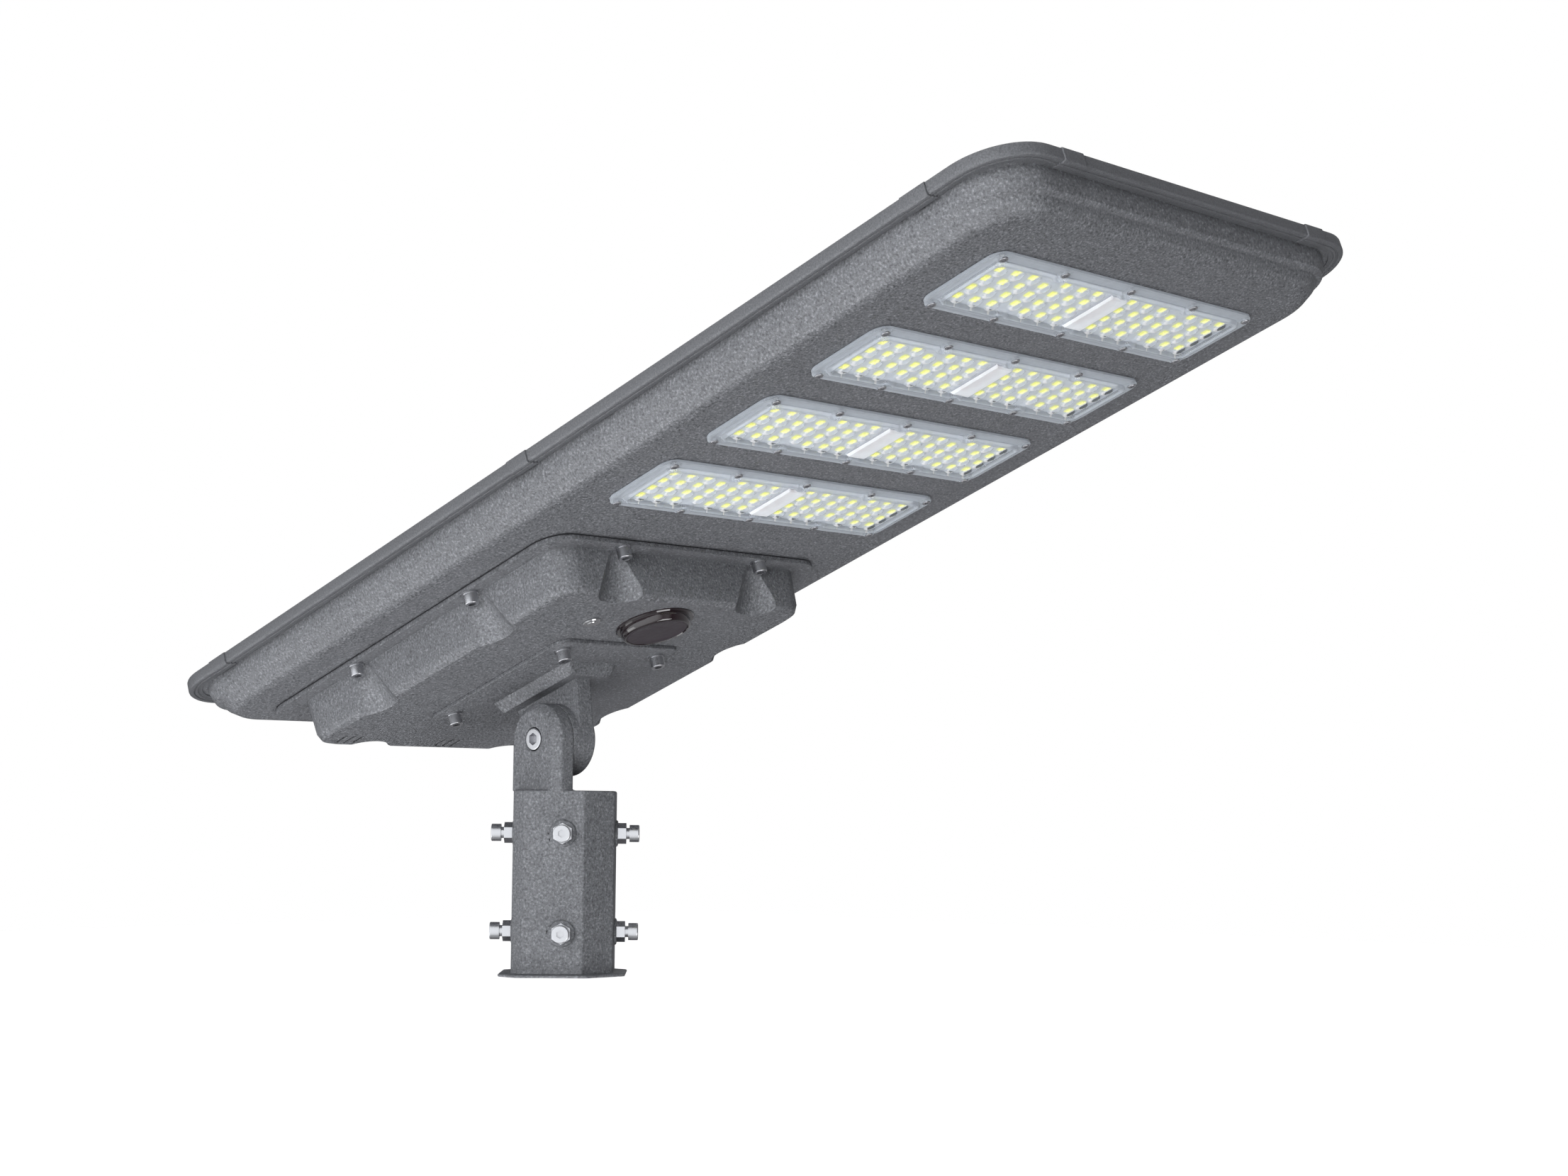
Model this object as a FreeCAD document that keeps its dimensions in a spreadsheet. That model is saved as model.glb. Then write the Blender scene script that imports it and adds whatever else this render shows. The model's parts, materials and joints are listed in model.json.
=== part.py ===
import FreeCAD, Part
import math
import os
import re

import Sketcher

# Solar street lamp: a flat head (solar panel above, light modules and battery bay below) on a tilting
# bracket that slides over the top of a pole.
# Row frame: origin at the centre of the sleeve's open bottom, +Z up along the pole, +X across the head,
# +Y towards the head's pole end, so the light modules reach out along -Y.
# Head frame: origin on the tilt axis, the head lying flat. Every head piece is drawn there and is then
# placed by the same tilt.

SIZES = [
    # head outline and tilt
    ("head_length", 833, "head from the light end to the pole end"),
    ("head_width", 373.4, "head across"),
    ("head_tilt", 20, "degrees that the light end is raised"),
    ("pivot_inset", 208.1, "tilt axis from the head's pole end"),
    ("underside_height", 81, "tilt axis to the flat underside"),
    # die-cast housing
    ("casting_wall", 2.6, "wall of the housing"),
    ("flat_inset", 28, "head edge to the flat underside"),
    ("edge_inset", 22.4, "head edge to the middle of the rounded lower edge"),
    ("edge_rise", 2, "height of that middle above the flat underside"),
    ("wall_inset", 18.3, "head edge to the lower wall"),
    ("wall_rise", 6.2, "height where that wall starts"),
    ("foot_inset", 17.2, "head edge to the foot of the step"),
    ("foot_rise", 9.2, "height of that foot"),
    ("step_inset", 13.4, "head edge to the step"),
    ("step_rise", 11.6, "height of the step"),
    ("cove_inset", 12, "head edge to the cove above the step"),
    ("cove_rise", 16, "height of that cove"),
    ("upright_inset", 11.2, "head edge to the upright wall under the rim"),
    ("upright_rise", 19.5, "height where the upright wall starts"),
    ("housing_corner", 37.5, "corner radius of the housing's steps"),
    ("flat_corner", 33, "corner radius of the flat underside"),
    ("housing_depth", 24.8, "flat underside to the housing's top"),
    ("flange_inset", 3.2, "head edge to the housing's top flange"),
    ("flange_sheet", 1.6, "thickness of that flange"),
    ("bay_margin", 30, "battery opening inside the cover's outline"),
    # rim frame round the panel
    ("rim_lift", 22.6, "flat underside to the rim's bottom face"),
    ("rim_wall", 2.4, "outer wall of the rim"),
    ("rim_sheet", 1.2, "top and bottom lips of the rim"),
    ("rim_lip", 12.5, "reach of the top lip over the glass"),
    ("rim_foot", 10, "reach of the bottom lip"),
    ("rim_corner", 41, "outer corner radius of the rim"),
    ("corner_arm_across", 52, "corner piece along the short edge"),
    ("corner_arm_along", 58.7, "corner piece along the long edge"),
    ("side_split", 410.7, "light end to the seam between the two left side strips"),
    ("collar_length", 19, "enlarged socket end of a rim piece"),
    ("collar_proud", 1, "how far the socket end stands out"),
    ("rim_seam", 0.2, "gap between rim pieces"),
    ("rim_clearance", 0.1, "gap between the rim and what it holds"),
    # solar panel
    ("panel_gasket_sheet", 0.8, "foam tape under the panel"),
    ("backsheet_sheet", 0.4, "backsheet"),
    ("cell_sheet", 0.2, "solar cell"),
    ("glass_sheet", 2.4, "front glass"),
    ("panel_edge_gap", 1, "panel edge to the rim's outer wall"),
    ("cell_margin", 14, "panel edge to the cells"),
    ("cell_gap", 2, "gap between cells"),
    ("cell_columns", 4, "cells across"),
    ("cell_rows", 9, "cells along"),
    # light modules
    ("module_count", 4, "light modules"),
    ("module_pitch", 94, "module spacing along the head"),
    ("module_start", 93.1, "light end to the first module's centre"),
    ("module_margin", 55.2, "head edge to the lens plate's end"),
    ("module_width", 66, "lens plate along the head"),
    ("module_corner", 11, "lens plate corner radius"),
    ("lens_gasket_sheet", 0.8, "gasket under the lens plate"),
    ("lens_flange_sheet", 1.8, "lens plate flange"),
    ("lens_field_inset_across", 11.5, "lens plate end to the raised field"),
    ("lens_field_inset_along", 8, "lens plate side to the raised field"),
    ("lens_field_rise", 2.4, "height of the raised field"),
    ("lens_wall", 1.6, "wall of the raised field"),
    ("lens_field_corner", 5, "corner radius of the raised field"),
    ("board_sheet", 1.2, "light board"),
    ("board_gap", 0.4, "light board to the lens wall"),
    ("chip_side", 5, "light chip"),
    ("chip_sheet", 0.7, "light chip thickness"),
    ("chip_pitch_along", 11, "chip rows"),
    ("chip_centre_gap", 17.5, "module centre to the nearest column"),
    ("chip_end_gap", 19.2, "lens plate end to the last column"),
    ("lens_screw_inset_across", 7.7, "lens plate end to its end screws"),
    ("lens_screw_inset_along", 4.6, "lens plate side to its screws"),
    ("lens_screw_radius", 1.5, "lens screw shank"),
    ("lens_screw_head", 2.8, "lens screw head radius"),
    ("lens_screw_head_rise", 2, "lens screw head height"),
    ("lens_screw_grip", 5, "lens screw shank length"),
    # battery cover
    ("cover_length", 323.6, "battery cover along the head, without its tail"),
    ("cover_tail", 12.4, "extra flange at the cover's pole end"),
    ("cover_margin", 53.7, "head edge to the cover"),
    ("cover_shift", -5.4, "cover centre from the tilt axis"),
    ("cover_corner", 22.5, "cover flange corner radius"),
    ("cover_gasket_sheet", 1, "gasket under the cover"),
    ("cover_flange_sheet", 3, "cover flange"),
    ("cover_flange_reach", 12.2, "cover flange to the bulge"),
    ("cover_depth", 31.4, "bulge below the flange"),
    ("bulge_low_inset", 1.6, "bulge's slope down to its rounded edge"),
    ("bulge_low_rise", 7, "height of the rounded edge"),
    ("bulge_mid_inset", 3.6, "inset at the middle of the rounded edge"),
    ("bulge_mid_rise", 2.2, "height of that middle"),
    ("bulge_flat_inset", 8, "inset of the bulge's flat bottom"),
    ("cover_wall", 2.5, "wall of the bulge"),
    ("cover_bulge_corner", 20, "corner radius of the bulge"),
    ("cover_screw_inset", 4.6, "cover edge to its screws"),
    ("cover_screw_half_spacing", 66.2, "cover screws from the cover's centre lines"),
    ("scallop_small", 8.2, "screw recess radius at the flange"),
    ("scallop_large", 24, "screw recess radius at the cover's bottom"),
    ("vent_length", 14, "vent slot"),
    ("vent_width", 2.6, "vent slot width"),
    ("vent_spread", 93, "spacing of the vent groups"),
    ("vent_inset", 11, "bulge edge to the vent slots"),
    ("housing_vent_length", 8, "vent slot in the housing"),
    ("vent_pitch", 7.4, "vent slot spacing"),
    # cap screws, M6
    ("cap_radius", 3, "cap screw shank"),
    ("cap_head", 5, "cap screw head radius"),
    ("cap_head_rise", 6, "cap screw head height"),
    ("cap_socket", 2.5, "half the width across the hex socket"),
    ("cap_socket_depth", 3, "hex socket depth"),
    ("cap_grip", 10.6, "cap screw shank length"),
    ("flat_washer_radius", 5.7, "flat washer"),
    ("flat_washer_sheet", 1.4, "flat washer thickness"),
    ("spring_washer_radius", 5, "spring washer"),
    ("spring_washer_sheet", 1.5, "spring washer thickness"),
    ("screw_clearance", 0.1, "radial clearance round a fixed screw"),
    # sensor and push button
    ("sensor_shift", -112.5, "sensor centre from the tilt axis"),
    ("bezel_radius", 28.2, "sensor bezel"),
    ("bezel_sheet", 1.6, "sensor bezel flange"),
    ("sensor_hole", 22.8, "hole for the sensor"),
    ("dome_radius", 25.5, "sensor dome at the bezel"),
    ("dome_face", 23, "sensor dome's flat face radius"),
    ("dome_rise", 6, "sensor dome height"),
    ("sensor_body_depth", 11, "sensor body inside the cover"),
    ("sensor_board_sheet", 1.6, "sensor circuit board"),
    ("button_offset", 56, "push button from the centre line, on the -X side"),
    ("button_shift", -107.5, "push button centre from the tilt axis"),
    ("switch_ring_radius", 6.6, "switch ring"),
    ("switch_ring_rise", 1.6, "switch ring height"),
    ("switch_body_radius", 5, "switch body"),
    ("switch_body_depth", 13, "switch body inside the cover"),
    ("button_radius", 3.6, "button cap"),
    ("button_rise", 2.2, "button cap above the cover"),
    ("button_travel", 1.5, "button stroke"),
    ("button_clearance", 0.05, "radial clearance of the button"),
    # mount plate with its lug
    ("plate_width", 116, "mount plate across"),
    ("plate_length", 154, "mount plate along"),
    ("plate_sheet", 2.6, "mount plate"),
    ("plate_corner", 8, "mount plate corner radius"),
    ("plate_screw_inset_across", 12.5, "mount plate edge to its screws, across"),
    ("plate_screw_inset_along", 14.5, "mount plate edge to its screws, along"),
    ("pedestal_width", 50, "pedestal foot across"),
    ("pedestal_length", 88, "pedestal foot along"),
    ("pedestal_rise", 8, "pedestal height"),
    ("pedestal_draft", 35, "degrees of slope on the pedestal"),
    ("lug_start", -16.5, "face between the bracket's ear and the lug, from the centre plane"),
    ("lug_sheet", 20.2, "lug thickness"),
    ("web_start", -9.5, "near face of the web above the lug, from the centre plane"),
    ("web_sheet", 13.2, "web thickness"),
    ("lug_radius", 26, "lug end radius"),
    ("lug_half_top", 34, "half the lug's length at the pedestal"),
    # bracket
    ("sleeve_height", 132, "sleeve"),
    ("pole_bore", 62, "bore for the pole"),
    ("sleeve_wall", 5, "sleeve wall front, back and on its slanted faces"),
    ("sleeve_side", 14, "sleeve wall at its sides"),
    ("bore_depth", 121, "depth of that bore"),
    ("skirt_proud", 9, "thin skirt round the sleeve's bottom"),
    ("skirt_sheet", 2.2, "skirt thickness"),
    ("pivot_rise", 36.5, "sleeve top to the tilt axis"),
    ("ear_sheet", 16.2, "ear thickness"),
    ("ear_radius", 26, "ear end radius"),
    ("ear_chamfer", 5, "ear edge chamfer"),
    ("face_gap", 0.3, "gap between the ear and the lug"),
    ("set_screw_low", 31, "lower set screws above the sleeve's bottom"),
    ("set_screw_rise", 70.5, "upper set screws above the lower ones"),
    ("boss_radius", 9.5, "set screw boss"),
    ("boss_proud", 2, "boss height"),
    ("set_screw_radius", 4, "set screw shank"),
    ("set_screw_head", 6.2, "set screw head radius"),
    ("set_screw_head_rise", 7, "set screw head height"),
    ("set_screw_stand", 8.4, "set screw head above the boss"),
    ("set_screw_tip", 0.5, "set screw tip short of the bore"),
    ("lock_nut_flats", 13, "lock nut across flats"),
    ("lock_nut_sheet", 6, "lock nut thickness"),
    # tilt bolt, M10
    ("bolt_radius", 5, "tilt bolt shank"),
    ("bolt_head", 8, "tilt bolt head radius"),
    ("bolt_head_rise", 10, "tilt bolt head height"),
    ("counterbore_clearance", 0.5, "radial gap round the bolt head"),
    ("bolt_running_clearance", 0.05, "radial clearance of the bolt in the lug"),
    ("bolt_washer_radius", 10, "tilt bolt washer"),
    ("bolt_washer_sheet", 2, "tilt bolt washer thickness"),
    ("bolt_nut_flats", 16, "tilt bolt nut across flats"),
    ("bolt_nut_sheet", 8, "tilt bolt nut thickness"),
    ("bolt_tail", 3, "bolt end beyond its nut"),
    ("washer_gap", 0.1, "gap between the lug and the washer"),
    # battery and electronics
    ("cell_can_radius", 16, "battery cell"),
    ("cell_can_length", 70, "battery cell length"),
    ("cell_can_gap", 1, "gap between battery cells"),
    ("cell_can_count", 5, "battery cells in a row"),
    ("tray_sheet", 1.5, "battery tray"),
    ("tray_wall_rise", 14, "battery tray side"),
    ("pack_shift", 18.5, "battery pack centre from the cover's centre"),
    ("protection_width", 46, "battery protection board"),
    ("protection_length", 90, "battery protection board length"),
    ("circuit_sheet", 1.6, "circuit board"),
    ("controller_width", 92, "charge controller"),
    ("controller_length", 62, "charge controller length"),
    ("controller_rise", 17, "charge controller height"),
    ("controller_shift", -215, "charge controller from the tilt axis"),
    ("junction_width", 62, "junction box"),
    ("junction_length", 44, "junction box length"),
    ("junction_drop", 12, "junction box below the panel"),
    ("junction_shift", -150, "junction box from the tilt axis"),
    ("lead_radius", 2.2, "inner leads"),
]

doc = FreeCAD.newDocument("solar_street_lamp")
sheet = doc.addObject("Spreadsheet::Sheet", "dims")
for row, (name, value, note) in enumerate(SIZES, start=1):
    sheet.set("A%d" % row, name)
    sheet.set("B%d" % row, str(value))
    sheet.set("C%d" % row, note)
    sheet.setAlias("B%d" % row, name)
doc.recompute()

words = {name for name, value, note in SIZES}

# lengths that follow from others
DERIVED = {
    "module_length": "(head_width - 2 * module_margin)",
    "chip_pitch_across": "((head_width / 2 - module_margin - chip_centre_gap - chip_end_gap) / 6)",
    "lens_screw_inner": "((head_width / 2 - module_margin - lens_screw_inset_across) * 0.53)",
    "cover_width": "(head_width - 2 * cover_margin)",
    "sleeve_half_across": "(pole_bore / 2 + sleeve_side)",
    "sleeve_half_along": "(pole_bore / 2 + sleeve_wall)",
    "sleeve_diagonal": "(pole_bore / 2 + sleeve_wall)",
}


def formula(text):
    """Write derived lengths out and point every size's name at its cell."""
    def cell(match):
        word = match.group()
        if word in DERIVED:
            return formula(DERIVED[word])
        return "dims." + word if word in words else word
    return re.sub(r"[a-z][a-z_]*", cell, str(text))


def size(text):
    return float(sheet.evalExpression(formula(text)))


# ---------------------------------------------------------------- named places, as formulas
led_end = "(pivot_inset - head_length)"
pole_end = "pivot_inset"
head_middle = "(pivot_inset - head_length / 2)"
pivot_height = "(sleeve_height + pivot_rise)"
cover_flange_low = "(underside_height - cover_gasket_sheet - cover_flange_sheet)"
cover_bottom = "(underside_height - cover_gasket_sheet - cover_flange_sheet - cover_depth)"
plate_low = "(underside_height - cover_gasket_sheet - cover_flange_sheet - cover_depth - plate_sheet)"
lens_flange_low = "(underside_height - lens_gasket_sheet - lens_flange_sheet)"
rim_bottom = "(underside_height + rim_lift)"
flange_low = "(underside_height + rim_lift + rim_sheet + rim_clearance)"
flange_top = "(underside_height + rim_lift + rim_sheet + rim_clearance + flange_sheet)"
backsheet_low = "(underside_height + rim_lift + rim_sheet + rim_clearance + flange_sheet + panel_gasket_sheet)"
cells_low = backsheet_low[:-1] + " + backsheet_sheet)"
glass_low = cells_low[:-1] + " + cell_sheet)"
glass_top = glass_low[:-1] + " + glass_sheet)"
rim_top = glass_top[:-1] + " + rim_clearance + rim_sheet)"
panel_width = "(head_width - 2 * rim_wall - 2 * panel_edge_gap)"
panel_length = "(head_length - 2 * rim_wall - 2 * panel_edge_gap)"

TILT = FreeCAD.Placement(FreeCAD.Vector(0, 0, size(pivot_height)),
                         FreeCAD.Rotation(FreeCAD.Vector(1, 0, 0), -size("head_tilt")))
LEVEL = FreeCAD.Placement()

nodes = []


def node(item, label, place):
    """Name a finished sub-part and put it where it belongs."""
    item.Label = label
    item.Placement = place
    nodes.append(item)
    return item


def bind(item, **values):
    for name, text in values.items():
        item.setExpression(name, formula(text))


def vector(x, y, z):
    return FreeCAD.Vector(size(x), size(y), size(z))


# ---------------------------------------------------------------- sketches and features
def new_body(label):
    return doc.addObject("PartDesign::Body", label + "_body")


def new_sketch(body, role="XY_Plane", lift="0", across="0", along="0"):
    sketch = body.newObject("Sketcher::SketchObject", "sketch")
    plane = [item for item in body.Origin.OriginFeatures if item.Role == role][0]
    sketch.AttachmentSupport = [(plane, "")]
    sketch.MapMode = "FlatFace"
    sketch.setExpression("AttachmentOffset.Base.x", formula(across))
    sketch.setExpression("AttachmentOffset.Base.y", formula(along))
    sketch.setExpression("AttachmentOffset.Base.z", formula(lift))
    return sketch


def fix(sketch, kind, *where, to):
    """Add one dimension to a sketch and tie it to the sheet."""
    index = sketch.addConstraint(Sketcher.Constraint(kind, *where, size(to)))
    sketch.setExpression("Constraints[%d]" % index, formula(to))


def rounded_rectangle(sketch, width, length, radius):
    """A rectangle with round corners about the sketch's origin."""
    half_w = size(width) / 2 - size(radius)
    half_l = size(length) / 2 - size(radius)
    r = size(radius)
    centres = [(-half_w, -half_l), (half_w, -half_l), (half_w, half_l), (-half_w, half_l)]
    for corner, (x, y) in enumerate(centres):
        start = math.pi + corner * math.pi / 2
        circle = Part.Circle(FreeCAD.Vector(x, y, 0), FreeCAD.Vector(0, 0, 1), r)
        sketch.addGeometry(Part.ArcOfCircle(circle, start, start + math.pi / 2), False)
    for corner in range(4):
        a = sketch.Geometry[corner].EndPoint
        b = sketch.Geometry[(corner + 1) % 4].StartPoint
        sketch.addGeometry(Part.LineSegment(a, b), False)
    for corner in range(4):
        line = 4 + corner
        sketch.addConstraint(Sketcher.Constraint("Tangent", corner, 2, line, 1))
        sketch.addConstraint(Sketcher.Constraint("Tangent", line, 2, (corner + 1) % 4, 1))
    for corner in range(1, 4):
        sketch.addConstraint(Sketcher.Constraint("Equal", 0, corner))
    sketch.addConstraint(Sketcher.Constraint("Horizontal", 4))
    sketch.addConstraint(Sketcher.Constraint("Vertical", 5))
    sketch.addConstraint(Sketcher.Constraint("Symmetric", 0, 3, 2, 3, -1, 1))
    fix(sketch, "Radius", 0, to=radius)
    fix(sketch, "DistanceX", 0, 3, 1, 3, to="(%s) - 2 * (%s)" % (width, radius))
    fix(sketch, "DistanceY", 1, 3, 2, 3, to="(%s) - 2 * (%s)" % (length, radius))
    return sketch


def circle(sketch, radius, across="0", along="0"):
    centre = FreeCAD.Vector(size(across), size(along), 0)
    index = sketch.addGeometry(Part.Circle(centre, FreeCAD.Vector(0, 0, 1), size(radius)), False)
    fix(sketch, "Radius", index, to=radius)
    fix(sketch, "DistanceX", -1, 1, index, 3, to=across)
    fix(sketch, "DistanceY", -1, 1, index, 3, to=along)
    return sketch


def outline(sketch, points):
    """A closed outline of straight runs, each corner tied to the sheet."""
    places = [FreeCAD.Vector(size(x), size(y), 0) for x, y in points]
    count = len(points)
    for index in range(count):
        sketch.addGeometry(Part.LineSegment(places[index], places[(index + 1) % count]), False)
    for index in range(count):
        sketch.addConstraint(Sketcher.Constraint("Coincident", index, 2, (index + 1) % count, 1))
    for index, (x, y) in enumerate(points):
        fix(sketch, "DistanceX", -1, 1, index, 1, to=x)
        fix(sketch, "DistanceY", -1, 1, index, 1, to=y)
    return sketch


def pad(body, sketch, length, taper=None, down=False):
    feature = body.newObject("PartDesign::Pad", "pad")
    feature.Profile = sketch
    feature.Reversed = down
    bind(feature, Length=length)
    if taper:
        bind(feature, TaperAngle=taper)
    return feature


def pocket(body, sketch, depth, forward=True):
    """Cut along the sketch's normal when forward, against it otherwise."""
    feature = body.newObject("PartDesign::Pocket", "pocket")
    feature.Profile = sketch
    feature.Reversed = forward
    bind(feature, Length=depth)
    return feature


def loft(body, sections, cut=False):
    kind = "PartDesign::SubtractiveLoft" if cut else "PartDesign::AdditiveLoft"
    feature = body.newObject(kind, "loft")
    feature.Profile = sections[0]
    feature.Sections = sections[1:]
    feature.Ruled = True
    return feature


def pierce(body, radius, places, low, depth):
    """Round holes along Z from the height low upwards."""
    sketch = new_sketch(body, lift=low)
    for across, along in places:
        circle(sketch, radius, across, along)
    return pocket(body, sketch, depth)


# ---------------------------------------------------------------- solids built straight from sizes
def rod(radius, length, place=None):
    """A round bar standing on the origin along +Z."""
    solid = Part.makeCylinder(size(radius), size(length))
    if place:
        solid.Placement = place
    return solid


def ring(outer, inner, length):
    return rod(outer, length).cut(rod(inner, length))


def block(width, length, height, x="0", y="0", z="0"):
    """A box centred on x and y that stands on z."""
    w, l, t = size(width), size(length), size(height)
    return Part.makeBox(w, l, t, FreeCAD.Vector(size(x) - w / 2, size(y) - l / 2, size(z)))


def hexagon(flats, length):
    radius = size(flats) / math.sqrt(3)
    corners = [FreeCAD.Vector(radius * math.cos(math.radians(60 * k)), radius * math.sin(math.radians(60 * k)), 0)
               for k in range(7)]
    return Part.Face(Part.makePolygon(corners)).extrude(FreeCAD.Vector(0, 0, size(length)))


def cap_screw(radius, head, head_rise, grip, socket, socket_depth):
    """Head below the origin, shank above it."""
    top = Part.makeCylinder(size(head), size(head_rise), FreeCAD.Vector(0, 0, -size(head_rise)))
    edge = [item for item in top.Edges if abs(item.BoundBox.ZMax + size(head_rise)) < 0.001]
    top = top.makeFillet(size(head) * 0.12, edge)
    recess = hexagon("2 * (%s)" % socket, socket_depth)
    recess.translate(FreeCAD.Vector(0, 0, -size(head_rise)))
    return top.fuse(rod(radius, grip)).removeSplitter().cut(recess)


def copies(solid, places):
    """Separate copies of one solid, each with its own placement."""
    result = []
    for place in places:
        item = solid.copy()
        item.Placement = place.multiply(item.Placement)
        result.append(item)
    return result


def group(label, solids, place):
    feature = doc.addObject("Part::Feature", label)
    feature.Shape = Part.makeCompound(solids)
    return node(feature, label, place)


def at(x, y, z):
    return FreeCAD.Placement(vector(x, y, z), FreeCAD.Rotation())


# ---------------------------------------------------------------- bracket
def sleeve_outline(grow):
    """The sleeve's eight-sided section, grown outwards by the given amount."""
    a = "(sleeve_half_across + %s)" % grow
    b = "(sleeve_half_along + %s)" % grow
    d = "((sleeve_diagonal + %s) * sqrt(2))" % grow
    flat_a = "(%s - %s)" % (d, a)
    flat_b = "(%s - %s)" % (d, b)
    quarter = [(a, flat_a), (flat_b, b)]
    points = quarter + [("-" + x, y) for x, y in reversed(quarter)]
    return points + [(("-" + x), ("-" + y)) for x, y in quarter] + [(x, "-" + y) for x, y in reversed(quarter)]


SET_SCREW_TURNS = [45, 135, 225, 315]


def set_screw_places(reach):
    """Placements on the four slanted faces at both levels, Z pointing away from the pole."""
    places = []
    for height in ("set_screw_low", "set_screw_low + set_screw_rise"):
        for turn in SET_SCREW_TURNS:
            aim = FreeCAD.Rotation(FreeCAD.Vector(0, 0, 1), turn).multiply(
                FreeCAD.Rotation(FreeCAD.Vector(0, 1, 0), 90))
            start = FreeCAD.Vector(0, 0, size(height)) + aim.multVec(FreeCAD.Vector(0, 0, size(reach)))
            places.append(FreeCAD.Placement(start, aim))
    return places


def cylinder_feature(body, kind, radius, height, place):
    feature = body.newObject(kind, "cylinder")
    bind(feature, Radius=radius, Height=height)
    feature.Placement = place
    return feature


def make_sleeve():
    body = new_body("pole_sleeve")
    pad(body, outline(new_sketch(body), sleeve_outline("0")), "sleeve_height")
    pad(body, outline(new_sketch(body), sleeve_outline("skirt_proud")), "skirt_sheet")
    ear = new_sketch(body, "YZ_Plane", "lug_start - face_gap / 2 - ear_sheet")
    r = size("ear_radius")
    low = size("sleeve_height - 1")
    pivot = size(pivot_height)
    corners = [(-r, low), (r, low), (r, pivot), (-r, pivot)]
    places = [FreeCAD.Vector(y, z, 0) for y, z in corners]
    for a, b in ((0, 1), (1, 2), (3, 0)):
        ear.addGeometry(Part.LineSegment(places[a], places[b]), False)
    round_end = Part.Circle(FreeCAD.Vector(0, pivot, 0), FreeCAD.Vector(0, 0, 1), r)
    ear.addGeometry(Part.ArcOfCircle(round_end, 0, math.pi), False)
    for first, second in ((0, 1), (2, 0)):
        ear.addConstraint(Sketcher.Constraint("Coincident", first, 2, second, 1))
    ear.addConstraint(Sketcher.Constraint("Tangent", 1, 2, 3, 1))
    ear.addConstraint(Sketcher.Constraint("Tangent", 3, 2, 2, 1))
    ear.addConstraint(Sketcher.Constraint("Horizontal", 0))
    ear.addConstraint(Sketcher.Constraint("Vertical", 1))
    fix(ear, "Radius", 3, to="ear_radius")
    fix(ear, "DistanceX", -1, 1, 3, 3, to="0")
    fix(ear, "DistanceY", -1, 1, 3, 3, to=pivot_height)
    fix(ear, "DistanceY", -1, 1, 0, 1, to="sleeve_height - 1")
    pad(body, ear, "ear_sheet")
    doc.recompute()
    outer = size("lug_start - face_gap / 2 - ear_sheet")
    top = size("sleeve_height")
    edges = []
    for index, edge in enumerate(body.Shape.Edges, start=1):
        box = edge.BoundBox
        if abs(box.XMin - outer) < 0.01 and abs(box.XMax - outer) < 0.01 and box.ZMax > top + 1:
            edges.append("Edge%d" % index)
    shaped = body.Tip
    chamfer = body.newObject("PartDesign::Chamfer", "ear_chamfer")
    chamfer.Base = (shaped, edges)
    bind(chamfer, Size="ear_chamfer")
    doc.recompute()
    for place in set_screw_places("pole_bore / 2 + 1"):
        cylinder_feature(body, "PartDesign::AdditiveCylinder", "boss_radius",
                         "sleeve_diagonal + boss_proud - pole_bore / 2 - 1", place)
    pocket(body, circle(new_sketch(body), "pole_bore / 2"), "bore_depth")
    for place in set_screw_places("pole_bore / 2 - 2"):
        cylinder_feature(body, "PartDesign::SubtractiveCylinder", "set_screw_radius + screw_clearance",
                         "sleeve_diagonal + boss_proud - pole_bore / 2 + 4", place)
    bore = circle(new_sketch(body, "YZ_Plane", "lug_start - face_gap / 2 - ear_sheet - 1"),
                  "bolt_radius + screw_clearance", "0", pivot_height)
    pocket(body, bore, "ear_sheet + 2")
    seat = circle(new_sketch(body, "YZ_Plane", "lug_start - face_gap / 2 - ear_sheet - 1"),
                  "bolt_head + counterbore_clearance", "0", pivot_height)
    pocket(body, seat, "bolt_head_rise + 1")
    return node(body, "pole_sleeve", LEVEL)


def make_set_screws():
    face = "sleeve_diagonal + boss_proud"
    screw = cap_screw("set_screw_radius", "set_screw_head", "set_screw_head_rise",
                      "%s + set_screw_stand - pole_bore / 2 - set_screw_tip" % face, "2.5", "4")
    screw.rotate(FreeCAD.Vector(0, 0, 0), FreeCAD.Vector(1, 0, 0), 180)
    places = set_screw_places(face + " + set_screw_stand")
    group("pole_set_screws", copies(screw, places), LEVEL)
    nut = hexagon("lock_nut_flats", "lock_nut_sheet").cut(
        rod("set_screw_radius + screw_clearance", "lock_nut_sheet"))
    group("set_screw_nuts", copies(nut, set_screw_places(face)), LEVEL)


def along_x(x):
    """Placement on the tilt axis with Z pointing along +X."""
    return FreeCAD.Placement(vector(x, "0", pivot_height),
                             FreeCAD.Rotation(FreeCAD.Vector(0, 1, 0), 90))


def make_tilt_bolt():
    seat = "lug_start - face_gap / 2 - ear_sheet + bolt_head_rise"
    washer_face = "lug_start + face_gap / 2 + lug_sheet + washer_gap"
    grip = "(%s) + bolt_washer_sheet + bolt_nut_sheet + bolt_tail - (%s)" % (washer_face, seat)
    bolt = cap_screw("bolt_radius", "bolt_head", "bolt_head_rise", grip, "4", "5")
    group("tilt_bolt", copies(bolt, [along_x(seat)]), LEVEL)
    washer = ring("bolt_washer_radius", "bolt_radius + screw_clearance", "bolt_washer_sheet")
    group("tilt_bolt_washer", copies(washer, [along_x(washer_face)]), LEVEL)
    nut = hexagon("bolt_nut_flats", "bolt_nut_sheet").cut(rod("bolt_radius + screw_clearance", "bolt_nut_sheet"))
    group("tilt_bolt_nut", copies(nut, [along_x(washer_face + " + bolt_washer_sheet")]), LEVEL)


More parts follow.
